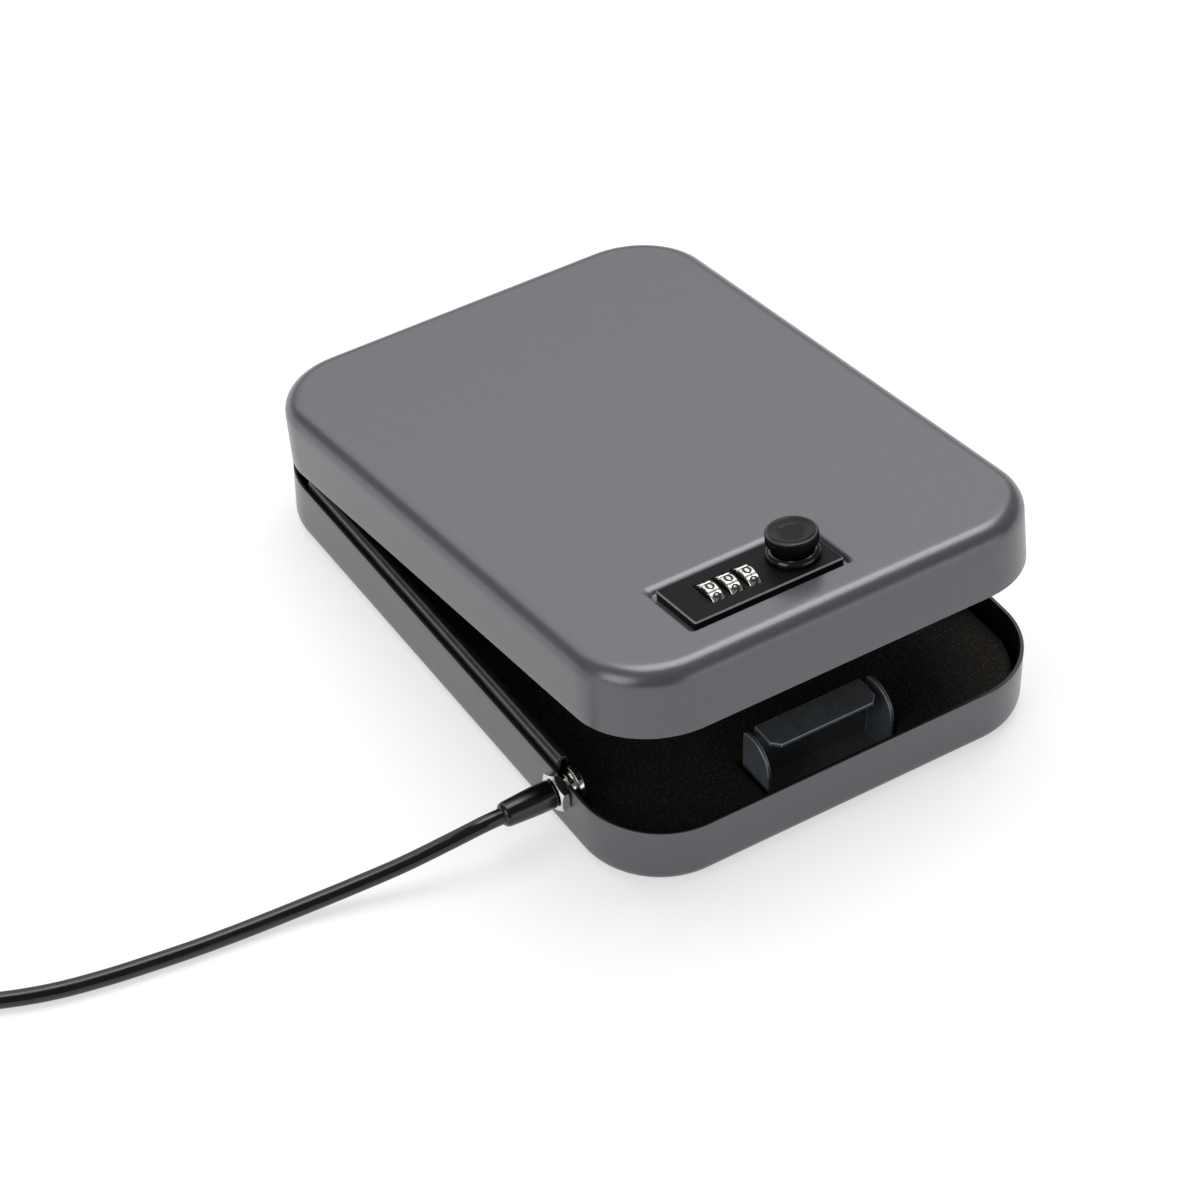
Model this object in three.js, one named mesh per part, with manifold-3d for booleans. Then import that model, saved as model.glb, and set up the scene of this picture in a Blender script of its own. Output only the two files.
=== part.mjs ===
// Portable car safe: a drawn steel tray and lid hinged at the back, a three-wheel combination
// lock in the lid, a folded strike in the tray and a steel security cable held in the tray's wall.
// Millimetres, +Z up, +Y towards the hinge, origin at the centre of the tray's underside.
import * as THREE from "three";
import { mergeVertices } from "three/addons/utils/BufferGeometryUtils.js";
import Module from "manifold-3d";

const wasm = await Module();
wasm.setup();

const degree = Math.PI / 180;

// Clearances and facets
const fit = 0.3;
const overrun = 6;
const weld = 1e-4;
const corner_steps = 8;
const edge_steps = 5;
const round_steps = 28;
const small_round_steps = 16;
const hexagon = 6;

// Case: two drawn shells that meet rim to rim
const case_width = 178;
const case_length = 254;
const corner_radius = 31;
const wall = 1.5;
const tray_height = 24.2;
const tray_edge_radius = 5.2;
const lid_height = 26.5;
const lid_edge_radius = 7.3;
const seam_gap = 0.6;
const lid_open_angle = 9.4 * degree;
const front = -case_length / 2;
const inner_y = case_length / 2 - wall;
const inner_x = case_width / 2 - wall;
const lid_rim = tray_height + seam_gap;
const lid_top = lid_rim + lid_height;

// Hinge: a barrel behind the seam, its leaves welded inside the back walls
const hinge_corner_gap = 3;
const knuckle_count = 7;
const barrel_radius = 2.8;
const hinge_pin_radius = 1.2;
const leaf_thickness = 1;
const leaf_leg = 7.4;
const hinge_length = case_width - 2 * (corner_radius + hinge_corner_gap);
const hinge_y = case_length / 2 + barrel_radius + fit;
const hinge_z = tray_height + seam_gap / 2;

// Anti-pry rails: bent strips inside the long walls, rolled inwards above the rim
const rail_thickness = 1.4;
const rail_roll_radius = 3.4;
const rail_rise = 4.2;
const rail_foam_gap = 0.9;
const rail_top = tray_height + rail_rise;
const rail_back = case_length / 2 - corner_radius;

// Strike: one folded plate with a tab over the latch pocket and a half-round ear at each end
const strike_thickness = 1.5;
const tab_width = 44;
const tab_depth = 12.5;
const tab_setback = 14.5;
const tab_rise = 4.3;
const tab_chamfer = 3;
const tab_end_gap = 3;
const ear_radius = 10.5;
const ear_reach = 5;
const ear_rise = 0.5;
const ear_shoulder = 6;
const foot_reach = 7.5;
const tab_front = front + tab_setback;
const strike_back = tab_front + tab_depth;
const strike_top = tray_height + tab_rise;
const tab_bottom = strike_top - strike_thickness;
const ear_inside = tab_width / 2 + tab_end_gap;
const ear_outside = ear_inside + strike_thickness;
const ear_middle_y = strike_back - ear_reach;
const ear_middle_z = strike_top + ear_rise - ear_radius;

// Foam liners
const foam_gap = 2;
const foam_thickness = 12.7;
const foam_top = wall + fit + foam_thickness;
const rail_bottom = foam_top + rail_foam_gap;
const foam_edge_radius = 3;
const foam_cut_gap = 1.5;
const lid_foam_gap = 4.5;
const lid_foam_thickness = 8;
const lid_foam_lock_gap = 8.4;
const lid_foam_corner = 6;

// Number wheels and the pocket they stand in, below their windows
const wheel_count = 3;
const wheel_pitch = 7.4;
const wheel_width = 4.8;
const wheel_radius = 8;
const wheel_axis_depth = 5.4;
const digits = 10;
const digit_groove = 0.55;
const digit_face_share = 0.8;
const window_side_gap = 0.35;
const window_end_gap = 0.5;
const dial_side_room = 3.2;
const dial_end_room = 1.6;
const dial_pocket_length = (wheel_count - 1) * wheel_pitch + wheel_width + 2 * dial_side_room;
const dial_pocket_depth = 2 * (wheel_radius + dial_end_room);
const window_length = 2 * (Math.sqrt(wheel_radius ** 2 - wheel_axis_depth ** 2) + window_end_gap);

// Crank under the knob and its round pocket
const crank_radius = 5.5;
const crank_half_swing = 30 * degree;
const crank_disc_radius = 8;
const crank_pocket_gap = 0.6;

// Faceplate and body of the lock: one casting let through the lid from above, its body as
// long and deep as the two pockets with the walls round them
const dial_end_wall = 6.2;
const dividing_wall = 4.8;
const crank_end_wall = 1.8;
const pocket_wall = 1.4;
const plate_overhang_x = 2;
const plate_overhang_y = 1.25;
const crank_pocket_width = 2 * (crank_disc_radius + crank_pocket_gap);
const body_length =
  dial_end_wall + dial_pocket_length + dividing_wall + crank_pocket_width + crank_end_wall;
const body_depth = dial_pocket_depth + 2 * pocket_wall;
const plate_length = body_length + 2 * plate_overhang_x;
const plate_depth = body_depth + 2 * plate_overhang_y;
const plate_thickness = 3;
const plate_corner = 1;
const plate_chamfer = 0.5;
const plate_x = -18.2;
const plate_setback = 30;
const plate_y = front + plate_setback;
const recess_depth = 2.2;
const recess_floor_margin = 1.2;
const recess_side_slope = 2.3;
const recess_front_slope = 1.3;
const recess_back_slope = 4.8;
const recess_corner = 2.2;
const recess_rings = 5;
const recess_floor = lid_top - recess_depth;
const plate_bottom = recess_floor + fit;
const plate_top = plate_bottom + plate_thickness;
const body_height = 12.5;
const body_corner = 1;
const body_bottom = plate_bottom - body_height;
const body_left = plate_x - body_length / 2;
const body_right = plate_x + body_length / 2;

// Clutch sleeves of the wheels and the shaft they turn on
const wheel_bore = 3.5;
const sleeve_radius = 3.2;
const sleeve_flange_radius = 4.1;
const sleeve_flange_thickness = 1.2;
const gate_depth = 1.1;
const gate_width = 1.6;
const gate_digits = [2, 4, 7];
const shaft_radius = 1.6;
const sleeve_relief = 4.5;
const shaft_reach = 2.7;
const wheel_z = plate_top - wheel_axis_depth;
const pocket_left = body_left + dial_end_wall;
const pocket_right = pocket_left + dial_pocket_length;
const wheel_middle_x = (pocket_left + pocket_right) / 2;
const shaft_left = body_left + fit;
const shaft_right = pocket_right + shaft_reach;

// Fence of the wheel pack and the comb spring that clicks the wheels
const bar_width = 3.2;
const bar_thickness = 1.9;
const bar_drop = 10.5;
const bar_end_gap = 0.6;
const fence_width = 1.2;
const comb_thickness = 0.5;
const comb_drop = 9;
const comb_base_height = 3;
const comb_finger_rise = 1.6;
const comb_finger_width = 3;
const comb_end_gap = 1.4;
const bar_bottom = wheel_z - bar_drop;
const comb_bottom = wheel_z - comb_drop;

// Rear cover of the lock
const cover_gap = 1.2;
const cover_wall = 1.4;
const cover_corner = 3;

// Latch: a bent plate that slides under the lock and hooks below the strike's tab
const latch_travel = 2 * crank_radius * Math.sin(crank_half_swing);
const latch_thickness = 1.8;
const latch_floor_gap = 0.4;
const latch_top_gap = 0.5;
const latch_end_gap = 0.7;
const latch_half_width = 9;
const latch_slot_gap = 0.4;
const hook_side_gap = 5;
const hook_shoulder_drop = 1.6;
const shank_gap = 2.2;
const tongue_gap = 0.8;
const tongue_clearance = 2;
const tongue_chamfer = 2;
const hook_half_width = tab_width / 2 - hook_side_gap;
const latch_top = body_bottom - latch_top_gap;
const latch_bottom = latch_top - latch_thickness;
const latch_front = tab_front - shank_gap - latch_travel - latch_thickness;
const latch_rear = plate_y + body_depth / 2 + cover_gap - latch_travel - latch_end_gap;
const hook_bottom = tab_bottom - tongue_gap - latch_thickness;
const hook_shoulder = latch_bottom - hook_shoulder_drop;
const tongue_tip = tab_front - tongue_clearance;
const cover_floor = latch_bottom - latch_floor_gap;
const cover_bottom = cover_floor - cover_wall;

// Knob, spindle and crank that draws the latch
const knob_height = 10;
const knob_radius = 9.25;
const knob_cap_height = 4.4;
const knurl_count = 48;
const knurl_depth = 0.3;
const knob_chamfer = 0.6;
const knob_dish_radius = 8;
const knob_dish_floor_radius = 5;
const knob_dish_depth = 0.6;
const neck_radius = 6.5;
const bezel_radius = 9.7;
const bezel_height = 3.2;
const bezel_round = 1.4;
const spindle_radius = 3;
const spindle_top_gap = 2.4;
const crank_pin_radius = 1.5;
const crank_disc_thickness = 2.4;
const crank_hub_radius = 4.5;
const crank_hub_height = 3.9;
const crank_socket_floor = 1.2;
const crank_gap = 0.4;
const roll_pin_radius = 1;
const knob_x = body_right - crank_end_wall - crank_pocket_width / 2;
const knob_top = plate_top + knob_height;
const spindle_top = knob_top - spindle_top_gap;
const crank_bottom = latch_top + crank_gap;
const crank_top = crank_bottom + crank_disc_thickness + crank_hub_height;
const crank_socket = crank_bottom + crank_socket_floor;
const crank_pocket_top = crank_top + crank_gap;
const roll_pin_z = crank_top - crank_hub_height / 2;
const roll_pin_half_length = crank_hub_radius - fit;

// Screws of the rear cover
const screw_radius = 1.25;
const screw_head_radius = 2.6;
const screw_head_height = 1.3;
const screw_bite = 4.1;
const screw_inset_x = 3;
const screw_inset_y = 3.5;
const screw_pocket_gap = 2.3;
const screw_slot_width = 0.8;
const screw_slot_depth = 0.6;
const screw_tip = body_bottom + screw_bite;
const screw_left = body_left + screw_inset_x;
const screw_right = pocket_right + screw_pocket_gap;

// Code-change lever: slides along the cover's floor
const lever_inset = 2.2;
const lever_length = 20;
const lever_width = 6;
const lever_thickness = 1.6;
const lever_nub_inset = 8;
const lever_nub_length = 4;
const lever_nub_width = 3;
const lever_nub_drop = 1.6;
const lever_travel = 4;
const lever_slot_gap = 0.4;
const lever_left = body_left + lever_inset;
const lever_bottom = cover_floor + fit;
const lever_nub_left = lever_left + lever_nub_inset;
const lever_nub_bottom = cover_bottom - lever_nub_drop;

// Cable stud: a button inside the wall, a nut outside it, in a notch open at the rim
const stud_setback = 44.8;
const stud_depth = 4.8;
const button_radius = 6.5;
const button_thickness = 2.5;
const button_round = 0.9;
const stud_collar_radius = 4.9;
const stud_collar_thickness = 2.2;
const stud_neck_radius = 3.5;
const nut_across_flats = 13;
const nut_thickness = 3.4;
const nut_chamfer = 0.7;
const boot_length = 20;
const boot_radius = 5.1;
const boot_nose_radius = 4.5;
const boot_round = 1.5;
const foam_notch_gap = 1.5;
const foam_notch_depth = 4;
const stud_y = front + stud_setback;
const stud_z = tray_height - stud_depth;
const boot_start = -case_width / 2 - fit - nut_thickness - fit;
const rail_front = stud_y + stud_collar_radius + fit;

// Security cable: its seen stretch on hand-set points, the rest in one round coil on the floor
const cable_diameter = 5.8;
const cable_radius = cable_diameter / 2;
const rest_gap = 0.2;
const cable_route = [
  [-130.8, -79.7, 15.6],
  [-148.6, -76.3, 10.7],
  [-166.1, -72.6, 6.9],
  [-183.9, -69.6, 4.4],
  [-201.9, -67.6, 3.3],
  [-219.9, -65.9, 3.1],
  [-237.5, -63.7, 3.1],
  [-254.7, -61, 3.1],
  [-271.2, -57.2, 3.1],
  [-286.7, -51.6, 3.1],
  [-306.5, -42, 3.1],
  [-325, -30.6, 3.1],
];
const lead_steps = 20;
const lead_sides = 10;
const coil_middle = [-317.6, 12.3];
const coil_start_angle = 230 * degree;
const coil_inner_radius = 26.5;
const coil_turn_pitch = 6.5;
const coil_layer_pitch = 6.4;
const coil_side_turns = 1.855;
const coil_climb_turns = 0.5;
const coil_loop_steps = 24;
const coil_sides = 6;
const tail_length = 32;
const tail_steps = 6;
const ferrule_length = 18;
const ferrule_width = 13.6;
const ferrule_height = 7.6;
const ferrule_chamfer = 1;
const eye_leg_offset = 3.4;
const eye_throat_radius = 15;
const eye_tip_radius = 12.5;
const eye_throat_points = 3;
const eye_tip_points = 6;
const eye_steps = 28;
const gap_samples = 900;
const gap_skip_share = 3;

// Solids from closed three.js geometry, for joining and cutting.
function solid(geometry) {
  const bare = geometry.index ? geometry.toNonIndexed() : geometry.clone();
  bare.deleteAttribute("normal");
  bare.deleteAttribute("uv");
  const merged = mergeVertices(bare, weld);
  const index = merged.index.array;
  const kept = [];
  for (let i = 0; i < index.length; i += 3) {
    const [a, b, c] = [index[i], index[i + 1], index[i + 2]];
    if (a !== b && b !== c && c !== a) kept.push(a, b, c);
  }
  const mesh = new wasm.Mesh({
    numProp: 3,
    vertProperties: merged.attributes.position.array,
    triVerts: new Uint32Array(kept),
  });
  return new wasm.Manifold(mesh);
}

function geometryOf(body) {
  const mesh = body.getMesh();
  const geometry = new THREE.BufferGeometry();
  geometry.setAttribute("position", new THREE.BufferAttribute(mesh.vertProperties, 3));
  geometry.setIndex(new THREE.BufferAttribute(mesh.triVerts, 1));
  const faceted = geometry.toNonIndexed();
  faceted.computeVertexNormals();
  return faceted;
}

function combine(how, geometries) {
  const [first, ...rest] = geometries.map(solid);
  return geometryOf(rest.reduce((body, next) => body[how](next), first));
}

const join = (...geometries) => combine("add", geometries);
const cut = (...geometries) => combine("subtract", geometries);
const overlap = (...geometries) => combine("intersect", geometries);

// Box between two opposite corners.
function block(low, high) {
  const size = high.map((value, i) => value - low[i]);
  const middle = high.map((value, i) => (value + low[i]) / 2);
  return new THREE.BoxGeometry(...size).translate(...middle);
}

// Upright cylinder from one height to another.
function drum(radius, bottom, top, x = 0, y = 0, steps = round_steps) {
  const cylinder = new THREE.CylinderGeometry(radius, radius, top - bottom, steps);
  return cylinder.rotateX(Math.PI / 2).translate(x, y, (bottom + top) / 2);
}

// Cylinder lying along X from one place to another.
function rod(radius, left, right, y, z, steps = small_round_steps) {
  const cylinder = new THREE.CylinderGeometry(radius, radius, right - left, steps);
  return cylinder.rotateZ(Math.PI / 2).translate((left + right) / 2, y, z);
}

// Solid of revolution about Z from [radius, height] points, bottom to top on the axis.
function turned(profile, steps = round_steps) {
  const points = profile.map(([radius, height]) => new THREE.Vector2(radius, height));
  return geometryOf(solid(new THREE.LatheGeometry(points, steps).rotateX(Math.PI / 2)));
}

// Rounded rectangle as a loop of points.
function roundedLoop(width, length, radius, x = 0, y = 0) {
  const sides = [[1, 1], [-1, 1], [-1, -1], [1, -1]];
  return sides.flatMap(([side_x, side_y], quarter) =>
    Array.from({ length: corner_steps + 1 }, (_, step) => {
      const angle = (quarter + step / corner_steps) * (Math.PI / 2);
      return new THREE.Vector2(
        x + side_x * (width / 2 - radius) + radius * Math.cos(angle),
        y + side_y * (length / 2 - radius) + radius * Math.sin(angle),
      );
    }),
  );
}

// Flat-sided solid of an outline between two heights.
function slab(outline, bottom, top) {
  const shape = outline instanceof THREE.Shape ? outline : new THREE.Shape(outline);
  const options = { depth: top - bottom, bevelEnabled: false, curveSegments: corner_steps };
  return new THREE.ExtrudeGeometry(shape, options).translate(0, 0, bottom);
}

// Closed skin through loops of equal point counts, given as [loop, height], bottom to top.
function loft(levels) {
  const count = levels[0][0].length;
  const points = levels.flatMap(([loop, height]) => loop.flatMap(({ x, y }) => [x, y, height]));
  const index = [];
  for (let level = 0; level + 1 < levels.length; level++) {
    for (let i = 0; i < count; i++) {
      const [a, b] = [level * count + i, level * count + ((i + 1) % count)];
      index.push(a, b, b + count, a, b + count, a + count);
    }
  }
  for (const [level, flip] of [[0, true], [levels.length - 1, false]]) {
    const [loop, height] = levels[level];
    const middle = points.length / 3;
    const sum = loop.reduce((total, point) => total.add(point), new THREE.Vector2());
    points.push(sum.x / count, sum.y / count, height);
    for (let i = 0; i < count; i++) {
      const [a, b] = [level * count + i, level * count + ((i + 1) % count)];
      index.push(...(flip ? [middle, b, a] : [middle, a, b]));
    }
  }
  const geometry = new THREE.BufferGeometry();
  geometry.setAttribute("position", new THREE.Float32BufferAttribute(points, 3));
  return geometry.setIndex(index);
}

// Drawn dish, open side up, its flat at height 0 and its lower edge a quarter round.
function dish(width, length, corner, height, edge) {
  const rounds = Array.from({ length: edge_steps + 1 }, (_, step) => {
    const angle = (step / edge_steps) * (Math.PI / 2);
    const inset = edge * (1 - Math.sin(angle));
    const loop = roundedLoop(width - 2 * inset, length - 2 * inset, corner - inset);
    return [loop, edge * (1 - Math.cos(angle))];
  });
  return loft([...rounds, [roundedLoop(width, length, corner), height]]);
}

// Drawn shell of even wall, standing on its flat.
function drawnShell(height, edge) {
  const outside = dish(case_width, case_length, corner_radius, height, edge);
  const inside = dish(
    2 * inner_x,
    2 * inner_y,
    corner_radius - wall,
    height - wall + overrun,
    edge - wall,
  );
  return { outside, inside: inside.translate(0, 0, wall) };
}

// One mesh for each piece, in its own finish.
function piece(name, geometry, finish, group) {
  const mesh = new THREE.Mesh(geometry, new THREE.MeshStandardMaterial(finish));
  mesh.name = name;
  group.add(mesh);
  return mesh;
}

const grey_coat = { color: 0x6f7276, roughness: 0.5, metalness: 0.1 };
const black_coat = { color: 0x0c0c0d, roughness: 0.3, metalness: 0.1 };
const dark_steel = { color: 0x26292b, roughness: 0.45, metalness: 0.6 };
const black_casting = { color: 0x141516, roughness: 0.32, metalness: 0.4 };
const plain_steel = { color: 0x9a9c9e, roughness: 0.35, metalness: 1 };
const nickel = { color: 0xc9c4b6, roughness: 0.25, metalness: 1 };
const brass = { color: 0xb08d4a, roughness: 0.35, metalness: 1 };
const foam_black = { color: 0x1b1a18, roughness: 1, metalness: 0 };
const black_plastic = { color: 0x161616, roughness: 0.6, metalness: 0 };
const cable_vinyl = { color: 0x0b0b0c, roughness: 0.22, metalness: 0 };

const safe = new THREE.Group();
safe.name = "portable_car_safe";

// Everything on the lid is drawn in its closed place and turned open about the hinge.
const lid_swing = new THREE.Group();
lid_swing.position.set(0, hinge_y, hinge_z);
lid_swing.rotation.x = -lid_open_angle;
const lid = new THREE.Group();
lid.position.set(0, -hinge_y, -hinge_z);
lid_swing.add(lid);
safe.add(lid_swing);

// Place of each knuckle along the barrel: even ones belong to the tray, odd ones to the lid.
const knuckle_pitch = hinge_length / knuckle_count;
const knuckles = Array.from({ length: knuckle_count }, (_, i) => ({
  middle: (i - (knuckle_count - 1) / 2) * knuckle_pitch,
  on_lid: i % 2 === 1,
}));

// Leaf of the hinge: a strip out through the seam, a leg down or up the inside of the wall
// and knuckles rolled round the pin. side is -1 on the tray and 1 on the lid.
function hingeLeaf(side) {
  const near = hinge_z + (side * fit) / 2;
  const far = near + side * leaf_thickness;
  const leg_end = hinge_z + side * leaf_leg;
  const leg_outside = inner_y - fit;
  const half = (hinge_length - fit) / 2;
  const levels = (a, b) => [Math.min(a, b), Math.max(a, b)];
  const [strip_low, strip_high] = levels(near, far);
  const [leg_low, leg_high] = levels(near, leg_end);
  const strip = block(
    [-half, leg_outside - leaf_thickness, strip_low],
    [half, hinge_y - hinge_pin_radius, strip_high],
  );
  const leg = block(
    [-half, leg_outside - leaf_thickness, leg_low],
    [half, leg_outside, leg_high],
  );
  const own = knuckles.filter((knuckle) => knuckle.on_lid === side > 0);
  const other = knuckles.filter((knuckle) => knuckle.on_lid !== side > 0);
  const barrel = (radius, { middle }, length) =>
    rod(radius, middle - length / 2, middle + length / 2, hinge_y, hinge_z);
  const rolled = own.map((knuckle) => barrel(barrel_radius, knuckle, knuckle_pitch - fit));
  const gaps = other.map((knuckle) => barrel(barrel_radius + fit, knuckle, knuckle_pitch + fit));
  const bore = rod(hinge_pin_radius + fit, -hinge_length, hinge_length, hinge_y, hinge_z);
  return cut(join(strip, leg, ...rolled), ...gaps, bore);
}

// Slot in a rim, for both shells, where the hinge's leaf comes out.
function rimSlot(side) {
  const depth = fit / 2 + leaf_thickness + fit;
  const half = hinge_length / 2 + fit;
  const ends = [hinge_z + side * depth, hinge_z - side * overrun];
  return block(
    [-half, inner_y - overrun, Math.min(...ends)],
    [half, case_length / 2 + overrun, Math.max(...ends)],
  );
}

// Tray shell, with the hinge slot and the stud's notch, round at its foot and open at the rim.
function trayShell() {
  const { outside, inside } = drawnShell(tray_height, tray_edge_radius);
  const notch_radius = stud_neck_radius + fit;
  const left = -case_width / 2 - overrun;
  const right = -inner_x + overrun;
  const notch_foot = rod(notch_radius, left, right, stud_y, stud_z);
  const notch = block(
    [left, stud_y - notch_radius, stud_z],
    [right, stud_y + notch_radius, tray_height + overrun],
  );
  return cut(outside, inside, rimSlot(-1), notch_foot, notch);
}

// Anti-pry rail: an upright leg on the wall and a quarter roll inwards at the top.
function rail(side) {
  const outside = inner_x - fit;
  const roll_z = rail_top - rail_roll_radius;
  const inner_roll = rail_roll_radius - rail_thickness;
  const section = new THREE.Shape();
  section.moveTo(0, rail_bottom);
  section.lineTo(0, roll_z);
  section.absarc(rail_roll_radius, roll_z, rail_roll_radius, Math.PI, Math.PI / 2, true);
  section.lineTo(rail_roll_radius, roll_z + inner_roll);
  section.absarc(rail_roll_radius, roll_z, inner_roll, Math.PI / 2, Math.PI, false);
  section.lineTo(rail_thickness, rail_bottom);
  const strip = slab(section, 0, rail_back - rail_front).rotateX(Math.PI / 2);
  strip.translate(-outside, rail_back, 0);
  if (side > 0) strip.rotateZ(Math.PI).translate(0, rail_back + rail_front, 0);
  return geometryOf(solid(strip));
}

// Strike: foot on the tray's floor, upright back, tab folded forwards and two ears.
function strike() {
  const floor = wall + fit;
  const back_front = strike_back - strike_thickness;
  const half_tab = tab_width / 2;
  const foot = block(
    [-ear_outside, tab_front - foot_reach, floor],
    [ear_outside, strike_back, floor + strike_thickness],
  );
  const back = block([-half_tab, back_front, floor], [half_tab, strike_back, strike_top]);
  const shoulders = block(
    [-ear_outside, back_front, floor],
    [ear_outside, strike_back, ear_middle_z + ear_shoulder],
  );
  const tab = slab(
    new THREE.Shape([
      new THREE.Vector2(-half_tab, strike_back),
      new THREE.Vector2(-half_tab, tab_front + tab_chamfer),
      new THREE.Vector2(-half_tab + tab_chamfer, tab_front),
      new THREE.Vector2(half_tab - tab_chamfer, tab_front),
      new THREE.Vector2(half_tab, tab_front + tab_chamfer),
      new THREE.Vector2(half_tab, strike_back),
    ]),
    tab_bottom,
    strike_top,
  );
  const ears = [-1, 1].map((side) => {
    const [left, right] = side < 0 ? [-ear_outside, -ear_inside] : [ear_inside, ear_outside];
    const moon = rod(ear_radius, left, right, ear_middle_y, ear_middle_z, round_steps);
    const behind_end = [right, strike_back + ear_radius, strike_top + overrun];
    const behind = block([left, strike_back, floor], behind_end);
    const stem_start = [left, ear_middle_y - ear_radius, floor];
    const stem = block(stem_start, [right, strike_back, ear_middle_z]);
    return join(cut(moon, behind), stem);
  });
  return join(foot, back, shoulders, tab, ...ears);
}

// Foam in the tray, cut away round the strike and the stud's button.
function trayFoam() {
  const bottom = wall + fit;
  const width = 2 * (inner_x - foam_gap);
  const length = 2 * (inner_y - foam_gap);
  const corner = corner_radius - wall - foam_gap;
  const pad = dish(width, length, corner, foam_top - bottom, foam_edge_radius).translate(0, 0, bottom);
  const half_cut = ear_outside + foam_cut_gap;
  const strike_cut = block(
    [-half_cut, -case_length, -overrun],
    [half_cut, strike_back + foam_cut_gap, foam_top + overrun],
  );
  const notch_half = button_radius + foam_notch_gap;
  const button_cut = block(
    [-case_width, stud_y - notch_half, -overrun],
    [-inner_x + foam_gap + foam_notch_depth, stud_y + notch_half, foam_top + overrun],
  );
  return cut(pad, strike_cut, button_cut);
}

piece("tray_shell", trayShell(), grey_coat, safe);
piece("side_rail_left", rail(-1), black_coat, safe);
piece("side_rail_right", rail(1), black_coat, safe);
piece("latch_strike", strike(), dark_steel, safe);
piece("tray_foam", trayFoam(), foam_black, safe);
piece("hinge_leaf_tray", hingeLeaf(-1), plain_steel, safe);
const pin_half = hinge_length / 2 - fit;
const hinge_pin = rod(hinge_pin_radius, -pin_half, pin_half, hinge_y, hinge_z);
piece("hinge_pin", hinge_pin, plain_steel, safe);

// Soft-edged recess pressed into the lid for the faceplate, as the space that it takes: steep in
// front, gentle behind. grow widens and deepens it, for the inner side of the sheet.
function recessSpace(grow) {
  const levels = Array.from({ length: recess_rings }, (_, ring) => {
    const way = ring / (recess_rings - 1);
    const margin = recess_floor_margin + grow;
    const rise = recess_depth * (3 - 2 * way) * way ** 2;
    const loop = roundedLoop(
      plate_length + 2 * (margin + way * recess_side_slope),
      plate_depth + 2 * margin + way * (recess_front_slope + recess_back_slope),
      recess_corner + grow,
      plate_x,
      plate_y + (way * (recess_back_slope - recess_front_slope)) / 2,
    );
    return [loop, recess_floor - grow + rise];
  });
  const [rim] = levels.at(-1);
  return loft([...levels, [rim, lid_top + overrun]]);
}

// Lid shell: the drawn shell turned over, with the lock's recess and opening.
function lidShell() {
  const { outside, inside } = drawnShell(lid_height, lid_edge_radius);
  for (const shell of [outside, inside]) shell.rotateX(Math.PI).translate(0, 0, lid_top);
  const opening = slab(
    roundedLoop(body_length + 2 * fit, body_depth + 2 * fit, body_corner + fit, plate_x, plate_y),
    recess_floor - overrun,
    lid_top + overrun,
  );
  return cut(outside, recessSpace(0), cut(inside, recessSpace(wall)), opening, rimSlot(1));
}

// Foam under the lid, behind the lock.
function lidFoam() {
  const top = lid_top - wall - fit;
  const half_width = inner_x - lid_foam_gap;
  const back = inner_y - lid_foam_gap;
  const cover_back = plate_y + body_depth / 2 + cover_gap + cover_wall;
  const foam_front = cover_back + lid_foam_lock_gap;
  const length = back - foam_front;
  const corner = corner_radius - wall - lid_foam_gap;
  const reach = length + 2 * corner;
  const round_back = roundedLoop(2 * half_width, reach, corner, 0, back - reach / 2);
  const round_front = roundedLoop(
    2 * half_width,
    length + 2 * corner,
    lid_foam_corner,
    0,
    foam_front + length / 2 + corner,
  );
  const bottom = top - lid_foam_thickness;
  return overlap(slab(round_back, bottom, top), slab(round_front, bottom, top));
}

piece("lid_shell", lidShell(), grey_coat, lid);
piece("hinge_leaf_lid", hingeLeaf(1), plain_steel, lid);
piece("lid_foam", lidFoam(), foam_black, lid);

const wheel_places = Array.from(
  { length: wheel_count },
  (_, i) => wheel_middle_x + (i - (wheel_count - 1) / 2) * wheel_pitch,
);

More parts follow.
